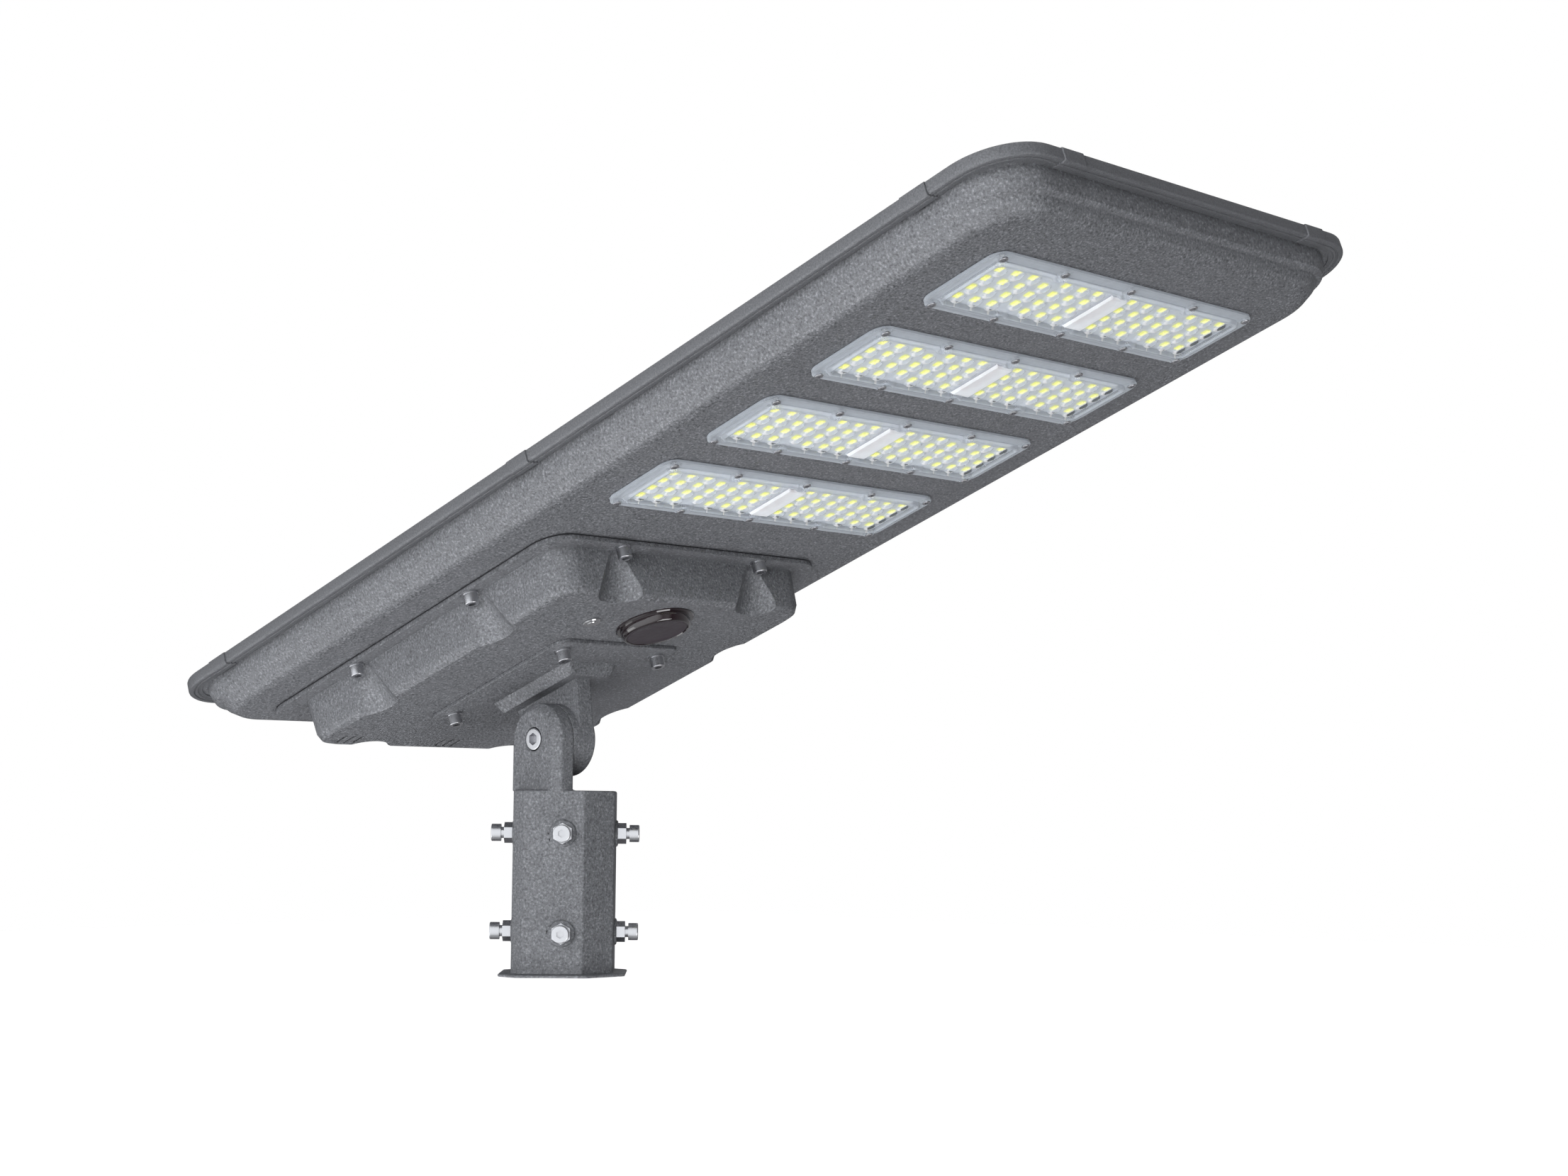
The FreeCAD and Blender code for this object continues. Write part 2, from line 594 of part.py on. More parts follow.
# ---------------------------------------------------------------- mount plate
plate_screws = [("%s(plate_width / 2 - plate_screw_inset_across)" % a,
                 "%s(plate_length / 2 - plate_screw_inset_along)" % b)
                for a in ("", "-") for b in ("", "-")]


def make_mount_plate():
    body = new_body("mount_plate")
    pad(body, rounded_rectangle(new_sketch(body, lift=plate_low), "plate_width", "plate_length",
                                "plate_corner"), "plate_sheet")
    pad(body, rounded_rectangle(new_sketch(body, lift=plate_low), "pedestal_width", "pedestal_length", "6"),
        "pedestal_rise", taper="-pedestal_draft", down=True)
    web = new_sketch(body, "YZ_Plane", "web_start")
    outline(web, [("-lug_half_top", plate_low + " - pedestal_rise + 1"),
                  ("-lug_radius", "2"), ("-lug_radius", "-1"), ("lug_radius", "-1"), ("lug_radius", "2"),
                  ("lug_half_top", plate_low + " - pedestal_rise + 1")])
    pad(body, web, "web_sheet")
    pad(body, circle(new_sketch(body, "YZ_Plane", "lug_start + face_gap / 2"), "lug_radius"), "lug_sheet")
    pocket(body, circle(new_sketch(body, "YZ_Plane", "lug_start - 1"), "bolt_radius + bolt_running_clearance"),
           "lug_sheet + 3")
    pierce(body, "cap_radius + screw_clearance", plate_screws, plate_low + " - 1", "plate_sheet + 2")
    return node(body, "mount_plate", TILT)


def screw_stack(label, places, face):
    """Cap screws with a flat and a spring washer each, heads downwards, under the given face."""
    under_head = face + " - flat_washer_sheet - spring_washer_sheet"
    screw = cap_screw("cap_radius", "cap_head", "cap_head_rise", "cap_grip", "cap_socket", "cap_socket_depth")
    group(label + "_screws", copies(screw, [at(x, y, under_head) for x, y in places]), TILT)
    flat = ring("flat_washer_radius", "cap_radius + screw_clearance", "flat_washer_sheet")
    spring = ring("spring_washer_radius", "cap_radius + screw_clearance", "spring_washer_sheet")
    washers = copies(flat, [at(x, y, face + " - flat_washer_sheet") for x, y in places])
    washers += copies(spring, [at(x, y, under_head) for x, y in places])
    group(label + "_screw_washers", washers, TILT)


# ---------------------------------------------------------------- battery cover
side = "(cover_width / 2 - cover_screw_inset)"
end = "(cover_length / 2 - cover_screw_inset)"
cover_screws = [(a + "cover_screw_half_spacing", "cover_shift %s %s" % (b, end)) for a in ("", "-") for b in "+-"]
cover_screws += [(a + side, "cover_shift %s cover_screw_half_spacing" % b) for a in ("", "-") for b in "+-"]


def cover_outline(body, lift, shrink, corner):
    """The cover's outline with its tail, drawn in by the given amount."""
    sketch = new_sketch(body, lift=lift, along="cover_shift + cover_tail / 2")
    return rounded_rectangle(sketch, "cover_width - 2 * (%s)" % shrink,
                             "cover_length + cover_tail - 2 * (%s)" % shrink, corner)


bulge_steps = [("0", "cover_depth"), ("bulge_low_inset", "bulge_low_rise"),
               ("bulge_mid_inset", "bulge_mid_rise"), ("bulge_flat_inset", "0")]


def bulge_section(body, inset, rise, shrink):
    """One level of the bulge, the given height above the cover's bottom."""
    sketch = new_sketch(body, lift="%s + %s" % (cover_bottom, rise), along="cover_shift")
    reach = "2 * (cover_flange_reach + %s + %s)" % (inset, shrink)
    return rounded_rectangle(sketch, "cover_width - " + reach, "cover_length - " + reach,
                             "cover_bulge_corner - (%s) / 2 - %s" % (inset, shrink))


def slots(sketch, start, length):
    """Three groups of three vent slots, from the line start along Y."""
    for group_step in ("-1", "0", "1"):
        for step in ("-1", "0", "1"):
            x = "%s * vent_spread + %s * vent_pitch" % (group_step, step)
            corners = [(x + " - vent_width / 2", start), (x + " + vent_width / 2", start),
                       (x + " + vent_width / 2", "%s + %s" % (start, length)),
                       (x + " - vent_width / 2", "%s + %s" % (start, length))]
            places = [FreeCAD.Vector(size(a), size(b), 0) for a, b in corners]
            first = sketch.GeometryCount
            for k in range(4):
                sketch.addGeometry(Part.LineSegment(places[k], places[(k + 1) % 4]), False)
            for k in range(4):
                sketch.addConstraint(Sketcher.Constraint("Coincident", first + k, 2, first + (k + 1) % 4, 1))
                fix(sketch, "DistanceX", -1, 1, first + k, 1, to=corners[k][0])
                fix(sketch, "DistanceY", -1, 1, first + k, 1, to=corners[k][1])
    return sketch


def make_battery_cover():
    outer = new_body("cover_outer")
    pad(outer, cover_outline(outer, cover_flange_low, "0", "cover_corner"), "cover_flange_sheet")
    loft(outer, [bulge_section(outer, inset, rise, "0") for inset, rise in bulge_steps])
    for x, y in cover_screws:
        cone = outer.newObject("PartDesign::SubtractiveCone", "scallop")
        bind(cone, Radius1="scallop_large", Radius2="scallop_small", Height="cover_depth")
        cone.Placement = at(x, y, cover_bottom)
    pierce(outer, "cap_radius + screw_clearance", cover_screws, cover_flange_low + " - 1", "cover_flange_sheet + 2")
    pierce(outer, "cap_radius + screw_clearance", plate_screws, cover_bottom + " - 1", "cover_wall + 2")
    pierce(outer, "sensor_hole", [("0", "sensor_shift")], cover_bottom + " - 1", "cover_wall + 2")
    pierce(outer, "switch_body_radius + screw_clearance", [("-button_offset", "button_shift")],
           cover_bottom + " - 1", "cover_wall + 2")
    start = "cover_shift + cover_length / 2 - cover_flange_reach - vent_inset - vent_length"
    pocket(outer, slots(new_sketch(outer, lift=cover_bottom + " - 1"), start, "vent_length"), "cover_wall + 2")

    inner = new_body("cover_inner")
    levels = [("0", "cover_depth + cover_flange_sheet + cover_gasket_sheet"),
              ("bulge_low_inset", "bulge_low_rise + cover_wall"), ("bulge_flat_inset", "cover_wall")]
    loft(inner, [bulge_section(inner, inset, rise, "cover_wall") for inset, rise in levels])
    for x, y in cover_screws:
        cone = inner.newObject("PartDesign::SubtractiveCone", "scallop_wall")
        grow = "(cover_depth + cover_flange_sheet + cover_gasket_sheet) / cover_depth"
        bind(cone, Radius1="scallop_large + cover_wall", Radius2="scallop_small + cover_wall",
             Height="cover_depth * (%s)" % grow)
        cone.Placement = at(x, y, cover_bottom)
    doc.recompute()
    cut = doc.addObject("Part::Cut", "battery_cover")
    cut.Base = outer
    cut.Tool = inner
    node(cut, "battery_cover", TILT)

    gasket = new_body("cover_gasket")
    low = "underside_height - cover_gasket_sheet"
    pad(gasket, cover_outline(gasket, low, "1", "cover_corner - 1"), "cover_gasket_sheet")
    hole = rounded_rectangle(new_sketch(gasket, lift=low + " - 1", along="cover_shift"),
                             "cover_width - 2 * bay_margin", "cover_length - 2 * bay_margin", "12")
    pocket(gasket, hole, "cover_gasket_sheet + 2")
    pierce(gasket, "cap_radius + 0.5", cover_screws, "underside_height - cover_gasket_sheet - 1",
           "cover_gasket_sheet + 2")
    node(gasket, "cover_gasket", TILT)


# ---------------------------------------------------------------- housing
def housing_section(body, inset, rise, corner, shrink):
    sketch = new_sketch(body, lift="underside_height + %s" % rise, along=head_middle)
    return rounded_rectangle(sketch, "head_width - 2 * (%s + %s)" % (inset, shrink),
                             "head_length - 2 * (%s + %s)" % (inset, shrink),
                             "%s - %s" % (corner, shrink))


def module_y(index):
    return "(pivot_inset - head_length + module_start + %d * module_pitch)" % index


def lens_screw_places(index):
    y = module_y(index)
    edge = "(module_width / 2 - lens_screw_inset_along)"
    ends = "(module_length / 2 - lens_screw_inset_across)"
    across = ["0", "lens_screw_inner", "-lens_screw_inner", ends, "-" + ends]
    return [(x, "%s %s %s" % (y, sign, edge)) for x in across for sign in "+-"]


def make_housing():
    body = new_body("housing_shell")
    steps = [("flat_inset", "0", "flat_corner"), ("edge_inset", "edge_rise", "housing_corner"),
             ("wall_inset", "wall_rise", "housing_corner"), ("foot_inset", "foot_rise", "housing_corner"),
             ("step_inset", "step_rise", "housing_corner"), ("cove_inset", "cove_rise", "housing_corner"),
             ("upright_inset", "upright_rise", "housing_corner"),
             ("upright_inset", "housing_depth", "housing_corner")]
    loft(body, [housing_section(body, inset, rise, corner, "0") for inset, rise, corner in steps])
    top = new_sketch(body, lift=flange_low, along=head_middle)
    rounded_rectangle(top, "head_width - 2 * flange_inset", "head_length - 2 * flange_inset",
                      "rim_corner - flange_inset")
    pad(body, top, "flange_sheet")
    hollow = [("flat_inset - 1.4", "casting_wall", "flat_corner"),
              ("wall_inset", "wall_rise + 1.6", "housing_corner"),
              ("step_inset", "step_rise + 1.2", "housing_corner"),
              ("upright_inset", "upright_rise", "housing_corner"),
              ("upright_inset", "housing_depth + 3", "housing_corner")]
    loft(body, [housing_section(body, inset, rise, corner, "casting_wall") for inset, rise, corner in hollow],
         cut=True)
    bay = rounded_rectangle(new_sketch(body, lift="underside_height - 1", along="cover_shift"),
                            "cover_width - 2 * bay_margin", "cover_length - 2 * bay_margin", "12")
    pocket(body, bay, "casting_wall + 2")
    pierce(body, "cap_radius + screw_clearance", cover_screws, "underside_height - 1", "casting_wall + 2")
    start = "cover_shift + cover_length / 2 + cover_tail + 2"
    pocket(body, slots(new_sketch(body, lift="underside_height - 1"), start, "housing_vent_length"),
           "casting_wall + 2")
    for index in range(int(size("module_count"))):
        pierce(body, "lens_screw_radius + screw_clearance", lens_screw_places(index), "underside_height - 1",
               "casting_wall + 2")
    return node(body, "housing_shell", TILT)


# ---------------------------------------------------------------- rim frame
def rim_bar(x_low, x_high, y_low, y_high, grow="0"):
    """A block between four lines, as tall as the rim."""
    bar = Part.makeBox(size(x_high) - size(x_low), size(y_high) - size(y_low),
                       size("%s - %s + %s" % (rim_top, rim_bottom, grow)))
    bar.translate(vector(x_low, y_low, "%s - %s" % (rim_bottom, grow)))
    return bar


def rim_ring(grow):
    """The whole rim as one channel, grown outwards and downwards by the given amount."""
    def plate(inset, height, lift):
        solid = block("head_width - 2 * (%s)" % inset, "head_length - 2 * (%s)" % inset, height, "0",
                      head_middle, lift)
        upright = [item for item in solid.Edges if item.BoundBox.ZLength > 1]
        return solid.makeFillet(size("rim_corner - (%s)" % inset), upright)

    outer = plate("-(%s)" % grow, "%s - %s + %s" % (rim_top, rim_bottom, grow), "%s - %s" % (rim_bottom, grow))
    upper = [item for item in outer.Edges if abs(item.BoundBox.ZMin - outer.BoundBox.ZMax) < 0.001]
    outer = outer.makeChamfer(size("rim_sheet * 0.75"), upper)
    window = plate("rim_lip", "40", "%s + rim_sheet" % rim_bottom)
    floor = plate("rim_foot", "40", "%s - 5" % rim_bottom)
    channel = plate("rim_wall", "%s - rim_sheet - %s - rim_sheet" % (rim_top, rim_bottom),
                    "%s + rim_sheet" % rim_bottom)
    return outer.cut(window).cut(floor).cut(channel)


far = "(head_width + head_length)"
half = "(head_width / 2)"


def rim_zone(x_low, x_high, y_low, y_high):
    """The part of the head's plan that one rim piece takes, half a seam short on each side."""
    gap = " rim_seam / 2"
    return rim_bar("%s +%s" % (x_low, gap), "%s -%s" % (x_high, gap),
                   "%s +%s" % (y_low, gap), "%s -%s" % (y_high, gap), "5")


def rim_piece(label, zones, collars):
    """One rim piece: the plain channel inside its zones, with enlarged socket ends in its collars."""
    plain = rim_ring("0")
    large = rim_ring("collar_proud")
    solid = Part.makeCompound([]) if not zones else plain.common(zones[0])
    for zone in zones[1:]:
        solid = solid.fuse(plain.common(zone))
    for collar in collars:
        solid = solid.fuse(large.common(collar))
    feature = doc.addObject("Part::Feature", label)
    feature.Shape = solid.removeSplitter()
    return node(feature, label, TILT)


def make_rim():
    """Four corners, an end strip at each end and two strips on each long side.

    The corners at light end right and pole end left carry sockets on both arms, so their arms are longer;
    the other two are plugged into the strips' sockets.
    """
    plain = "(%s - corner_arm_across)" % half
    socketed = "(%s - corner_arm_across - collar_length)" % half
    seam_x = {("led", "left"): "-" + plain, ("led", "right"): socketed,
              ("pole", "left"): "-" + socketed, ("pole", "right"): plain}
    seam_y = {("led", "left"): "(%s + corner_arm_along)" % led_end,
              ("led", "right"): "(%s + corner_arm_along + collar_length)" % led_end,
              ("pole", "left"): "(%s - corner_arm_along - collar_length)" % pole_end,
              ("pole", "right"): "(%s - corner_arm_along)" % pole_end}
    middle_y = {"left": "(%s + side_split)" % led_end, "right": "(%s - side_split)" % pole_end}
    arm = "rim_corner + 2"
    columns = {"left": ("-" + far, "-%s + %s" % (half, arm)), "right": ("%s - %s" % (half, arm), far)}
    rows = {"led": ("-" + far, "%s + %s" % (led_end, arm)), "pole": ("%s - %s" % (pole_end, arm), far)}

    for end_name in ("led", "pole"):
        for side_name in ("left", "right"):
            across, along = seam_x[end_name, side_name], seam_y[end_name, side_name]
            x_range = ("-" + far, across) if side_name == "left" else (across, far)
            y_range = ("-" + far, along) if end_name == "led" else (along, far)
            zones = [rim_zone(*x_range, *rows[end_name]), rim_zone(*columns[side_name], *y_range)]
            collars = []
            if (end_name, side_name) == ("led", "right"):
                collars = [rim_zone(across, across + " + collar_length", *rows["led"]),
                           rim_zone(*columns["right"], along + " - collar_length", along)]
            if (end_name, side_name) == ("pole", "left"):
                collars = [rim_zone(across + " - collar_length", across, *rows["pole"]),
                           rim_zone(*columns["left"], along, along + " + collar_length")]
            rim_piece("rim_corner_%s_%s" % (end_name, side_name), zones, collars)

        low, high = seam_x[end_name, "left"], seam_x[end_name, "right"]
        collar = (low, low + " + collar_length") if end_name == "led" else (high + " - collar_length", high)
        rim_piece("rim_end_" + end_name, [rim_zone(low, high, *rows[end_name])],
                  [rim_zone(*collar, *rows[end_name])])

    for side_name in ("left", "right"):
        spans = {"led": (seam_y["led", side_name], middle_y[side_name]),
                 "pole": (middle_y[side_name], seam_y["pole", side_name])}
        for end_name, (low, high) in spans.items():
            collar = (low, low + " + collar_length") if side_name == "left" else (high + " - collar_length", high)
            rim_piece("rim_side_%s_%s" % (side_name, end_name), [rim_zone(*columns[side_name], low, high)],
                      [rim_zone(*columns[side_name], *collar)])


# ---------------------------------------------------------------- solar panel
def make_panel():
    def sheet_body(label, width, length, low, thickness, corner="rim_corner - rim_wall - panel_edge_gap"):
        body = new_body(label)
        pad(body, rounded_rectangle(new_sketch(body, lift=low, along=head_middle), width, length, corner),
            thickness)
        return body

    node(sheet_body("solar_glass", panel_width, panel_length, glass_low, "glass_sheet"), "solar_glass", TILT)
    node(sheet_body("solar_backsheet", panel_width, panel_length, backsheet_low, "backsheet_sheet"),
         "solar_backsheet", TILT)
    gasket = sheet_body("panel_gasket", panel_width, panel_length, flange_top, "panel_gasket_sheet")
    opening = "2 * (upright_inset + casting_wall)"
    hole = rounded_rectangle(new_sketch(gasket, lift=flange_top + " - 1", along=head_middle),
                             "head_width - " + opening, "head_length - " + opening,
                             "housing_corner - casting_wall")
    pocket(gasket, hole, "panel_gasket_sheet + 2")
    node(gasket, "panel_gasket", TILT)

    columns = int(size("cell_columns"))
    rows = int(size("cell_rows"))
    room_x = "(%s - 2 * cell_margin)" % panel_width
    room_y = "(%s - 2 * cell_margin)" % panel_length
    cell_w = "((%s + cell_gap) / cell_columns - cell_gap)" % room_x
    cell_l = "((%s + cell_gap) / cell_rows - cell_gap)" % room_y
    cells = []
    for column in range(columns):
        for row in range(rows):
            x = "(%d - (cell_columns - 1) / 2) * (%s + cell_gap)" % (column, cell_w)
            y = "%s + (%d - (cell_rows - 1) / 2) * (%s + cell_gap)" % (head_middle, row, cell_l)
            cells.append(block(cell_w, cell_l, "cell_sheet", x, y, cells_low))
    group("solar_cells", cells, TILT)

    box = new_body("junction_box")
    low = backsheet_low + " - junction_drop"
    pad(box, rounded_rectangle(new_sketch(box, lift=low, along="junction_shift"), "junction_width",
                               "junction_length", "4"), "junction_drop")
    node(box, "junction_box", TILT)


# ---------------------------------------------------------------- light modules
def chip_places(index):
    """Seven columns of chips each side of the middle: four in each, three in the staggered fourth."""
    places = []
    for sign in ("", "-"):
        for column in range(7):
            x = "%s(chip_centre_gap + %d * chip_pitch_across)" % (sign, column)
            count = 3 if column == 3 else 4
            for row in range(count):
                y = "%s + (%d - %s) * chip_pitch_along" % (module_y(index), row, (count - 1) / 2)
                places.append((x, y))
    return places


def make_light_module(index):
    name = str(index + 1)
    y = module_y(index)
    field_x = "module_length - 2 * lens_field_inset_across"
    field_y = "module_width - 2 * lens_field_inset_along"
    body = new_body("led_lens_" + name)
    pad(body, rounded_rectangle(new_sketch(body, lift=lens_flange_low, along=y), "module_length",
                                "module_width", "module_corner"), "lens_flange_sheet")
    pad(body, rounded_rectangle(new_sketch(body, lift=lens_flange_low, along=y), field_x, field_y,
                                "lens_field_corner"), "lens_field_rise", down=True)
    inner = "lens_field_corner - lens_wall"
    cavity = rounded_rectangle(new_sketch(body, lift=lens_flange_low + " - lens_field_rise + lens_wall", along=y),
                               field_x + " - 2 * lens_wall", field_y + " - 2 * lens_wall", inner)
    pocket(body, cavity, "lens_field_rise + lens_flange_sheet")
    pierce(body, "lens_screw_radius + screw_clearance", lens_screw_places(index),
           lens_flange_low + " - 1", "lens_flange_sheet + 2")
    node(body, "led_lens_" + name, TILT)

    gasket = new_body("lens_gasket_" + name)
    low = "underside_height - lens_gasket_sheet"
    pad(gasket, rounded_rectangle(new_sketch(gasket, lift=low, along=y), "module_length - 2",
                                  "module_width - 2", "module_corner - 1"), "lens_gasket_sheet")
    hole = rounded_rectangle(new_sketch(gasket, lift=low + " - 1", along=y), field_x + " - 2 * lens_wall",
                             field_y + " - 2 * lens_wall", inner)
    pocket(gasket, hole, "lens_gasket_sheet + 2")
    pierce(gasket, "lens_screw_radius + 0.3", lens_screw_places(index), low + " - 1", "lens_gasket_sheet + 2")
    node(gasket, "lens_gasket_" + name, TILT)

    board = new_body("led_board_" + name)
    room = " - 2 * lens_wall - 2 * board_gap"
    pad(board, rounded_rectangle(new_sketch(board, lift="underside_height - board_sheet", along=y),
                                 field_x + room, field_y + room, "2"), "board_sheet")
    node(board, "led_board_" + name, TILT)

    chip = block("chip_side", "chip_side", "chip_sheet")
    low = "underside_height - board_sheet - chip_sheet"
    group("led_chips_" + name, copies(chip, [at(x, along, low) for x, along in chip_places(index)]), TILT)


def make_lens_screws():
    screw = cap_screw("lens_screw_radius", "lens_screw_head", "lens_screw_head_rise", "lens_screw_grip",
                      "1.2", "1")
    places = []
    for index in range(int(size("module_count"))):
        places += [at(x, y, lens_flange_low) for x, y in lens_screw_places(index)]
    group("lens_screws", copies(screw, places), TILT)


# ---------------------------------------------------------------- sensor and push button
def revolve(points):
    """A solid of revolution about Z from a half outline of (radius, height) pairs."""
    corners = [FreeCAD.Vector(size(r), 0, size(z)) for r, z in points]
    face = Part.Face(Part.makePolygon(corners + corners[:1]))
    return face.revolve(FreeCAD.Vector(0, 0, 0), FreeCAD.Vector(0, 0, 1), 360)


def make_sensor():
    place = [at("0", "sensor_shift", cover_bottom)]
    bezel = revolve([("dome_radius - 3", "-bezel_sheet"), ("bezel_radius - 0.8", "-bezel_sheet"),
                     ("bezel_radius", "-bezel_sheet + 0.8"), ("bezel_radius", "0"), ("dome_radius - 3", "0")])
    group("sensor_bezel", copies(bezel, place), TILT)
    dome = revolve([("0", "-bezel_sheet"), ("dome_radius", "-bezel_sheet"),
                    ("dome_radius - 0.4", "-bezel_sheet - dome_rise * 0.55"),
                    ("dome_face", "-bezel_sheet - dome_rise"), ("0", "-bezel_sheet - dome_rise")])
    group("sensor_dome", copies(dome, place), TILT)
    core = ring("dome_radius - 3.2", "dome_radius - 5.2", "sensor_body_depth + bezel_sheet")
    core.translate(FreeCAD.Vector(0, 0, -size("bezel_sheet")))
    group("sensor_body", copies(core, place), TILT)
    clip = ring("sensor_hole + 5", "dome_radius - 3.1", "3")
    group("sensor_nut", copies(clip, [at("0", "sensor_shift", cover_bottom + " + cover_wall")]), TILT)
    board = rod("dome_radius - 5.4", "sensor_board_sheet")
    group("sensor_board", copies(board, [at("0", "sensor_shift", cover_bottom + " + 6")]), TILT)


def make_switch():
    place = [at("-button_offset", "button_shift", cover_bottom)]
    bore = "button_radius + button_clearance"
    shell = revolve([(bore, "-switch_ring_rise"), ("switch_ring_radius - 0.6", "-switch_ring_rise"),
                     ("switch_ring_radius", "-switch_ring_rise + 0.6"), ("switch_ring_radius", "0"),
                     ("switch_body_radius", "0"), ("switch_body_radius", "switch_body_depth"),
                     ("0", "switch_body_depth"), ("0", "switch_body_depth - 1.5"),
                     (bore, "switch_body_depth - 1.5")])
    group("switch_body", copies(shell, place), TILT)
    nut = hexagon("14", "2.5").cut(rod("switch_body_radius + screw_clearance", "2.5"))
    group("switch_nut", copies(nut, [at("-button_offset", "button_shift", cover_bottom + " + cover_wall")]), TILT)
    top = "switch_body_depth - 1.5 - button_travel - 0.5"
    cap = revolve([("0", "-button_rise"), ("button_radius - 0.5", "-button_rise"),
                   ("button_radius", "-button_rise + 0.5"), ("button_radius", top), ("0", top)])
    group("switch_button", copies(cap, place), TILT)


# ---------------------------------------------------------------- battery and electronics
def make_battery():
    middle = "cover_shift + pack_shift"
    floor = cover_bottom + " + cover_wall"
    pitch = "(2 * cell_can_radius + cell_can_gap)"
    low = floor + " + tray_sheet + 0.2 + cell_can_radius"
    lift = "sensor_body_depth + 2"
    can = rod("cell_can_radius", "cell_can_length")
    places = []
    for x in ("cell_can_gap / 2 + 0.5", "-cell_can_gap / 2 - 0.5 - cell_can_length"):
        for row in range(int(size("cell_can_count"))):
            y = "%s + (%d - (cell_can_count - 1) / 2) * %s" % (middle, row, pitch)
            places.append(FreeCAD.Placement(vector(x, y, low), FreeCAD.Rotation(FreeCAD.Vector(0, 1, 0), 90)))
    group("battery_cells", copies(can, places), TILT)
    room_x = "(2 * cell_can_length + cell_can_gap + 1.4)"
    room_y = "(cell_can_count * %s + 0.4)" % pitch
    tray = block(room_x + " + 2 * tray_sheet", room_y + " + 2 * tray_sheet", "tray_sheet + tray_wall_rise",
                 "0", middle, floor)
    tray = tray.cut(block(room_x, room_y, "tray_wall_rise + 1", "0", middle, floor + " + tray_sheet"))
    for x, y in plate_screws:
        tray = tray.cut(rod("cap_radius + 2", "40", at(x, y, floor + " - 1")))
    group("battery_tray", [tray], TILT)
    board = new_body("protection_board")
    top = low + " + cell_can_radius + 0.2"
    pad(board, rounded_rectangle(new_sketch(board, lift=top, along=middle), "protection_width",
                                 "protection_length", "2"), "circuit_sheet")
    node(board, "protection_board", TILT)


def make_controller():
    body = new_body("charge_controller")
    floor = "underside_height + casting_wall"
    pad(body, rounded_rectangle(new_sketch(body, lift=floor, along="controller_shift"), "controller_width",
                                "controller_length", "5"), "controller_rise")
    node(body, "charge_controller", TILT)


def main():
    make_sleeve()
    make_set_screws()
    make_tilt_bolt()
    make_mount_plate()
    screw_stack("plate", plate_screws, plate_low)
    make_battery_cover()
    screw_stack("cover", cover_screws, cover_flange_low)
    make_housing()
    make_rim()
    make_panel()
    for index in range(int(size("module_count"))):
        make_light_module(index)
    make_lens_screws()
    make_sensor()
    make_switch()
    make_battery()
    make_controller()
    doc.recompute()

    faults = [item.Label for item in doc.Objects
              if "Invalid" in item.State or "Error" in item.State]
    for item in nodes:
        if item.Shape.isNull() or not item.Shape.isValid():
            faults.append(item.Label)
    if faults:
        raise RuntimeError("these did not build: " + ", ".join(faults))

    os.makedirs("parts", exist_ok=True)
    for item in nodes:
        item.Shape.exportStep("parts/%s.step" % item.Label)
    print("wrote %d sub-parts" % len(nodes))


main()
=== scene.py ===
# Solar street lamp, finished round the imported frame.
# Metres throughout; the origin is the mouth of the pole socket.
import json
import math

import bmesh
import bpy
import numpy as np
from mathutils import Matrix, Vector


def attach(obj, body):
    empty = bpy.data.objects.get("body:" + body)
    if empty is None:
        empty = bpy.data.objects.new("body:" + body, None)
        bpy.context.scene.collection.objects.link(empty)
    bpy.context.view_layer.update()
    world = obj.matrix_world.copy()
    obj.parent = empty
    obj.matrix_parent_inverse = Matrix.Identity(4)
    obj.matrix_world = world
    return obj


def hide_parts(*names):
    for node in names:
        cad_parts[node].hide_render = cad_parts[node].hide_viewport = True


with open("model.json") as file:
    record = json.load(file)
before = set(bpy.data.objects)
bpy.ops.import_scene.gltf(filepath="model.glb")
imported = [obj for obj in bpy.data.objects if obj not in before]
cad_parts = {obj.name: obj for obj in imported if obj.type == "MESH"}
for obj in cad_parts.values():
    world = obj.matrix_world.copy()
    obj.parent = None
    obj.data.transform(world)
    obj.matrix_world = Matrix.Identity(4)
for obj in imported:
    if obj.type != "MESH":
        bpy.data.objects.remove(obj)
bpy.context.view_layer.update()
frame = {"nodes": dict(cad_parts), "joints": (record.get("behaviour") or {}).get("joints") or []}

nodes = frame["nodes"]
print("frame loaded:", len(nodes), "nodes")

mm = 0.001
weldGap = 0.00001                                # points closer than this are one point
headTilt = math.radians(20)                      # light end up, at rest
pivot = Vector(next(j for j in frame["joints"] if j["name"] == "head_tilt")["pos_m"])
headFrame = Matrix.Translation(pivot) @ Matrix.Rotation(-headTilt, 4, "X")
headFrameBack = headFrame.inverted()


def corners(points):                             # lowest and highest corner of a list of points
    low = Vector([min(p[k] for p in points) for k in range(3)])
    high = Vector([max(p[k] for p in points) for k in range(3)])
    return low, high


def headBox(name):                               # a node's corners, seen with the head level
    return corners([headFrameBack @ v.co for v in nodes[name].data.vertices])


def linkObject(name, data):
    item = bpy.data.objects.new(name, data)
    bpy.context.scene.collection.objects.link(item)
    return item


def shadeByAngle(mesh, degrees):
    mesh.shade_smooth()
    work = bmesh.new()
    work.from_mesh(mesh)
    limit = math.radians(degrees)
    for edge in work.edges:
        if len(edge.link_faces) == 2:
            edge.smooth = edge.calc_face_angle(0) < limit
    work.to_mesh(mesh)
    work.free()


def addPiece(name, mesh, materials, body, replaced=(), smooth=35):
    piece = linkObject(name, mesh)
    for item in (materials if isinstance(materials, list) else [materials]):
        mesh.materials.append(item)
    shadeByAngle(mesh, smooth)
    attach(piece, body)
    if replaced:
        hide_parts(*replaced)


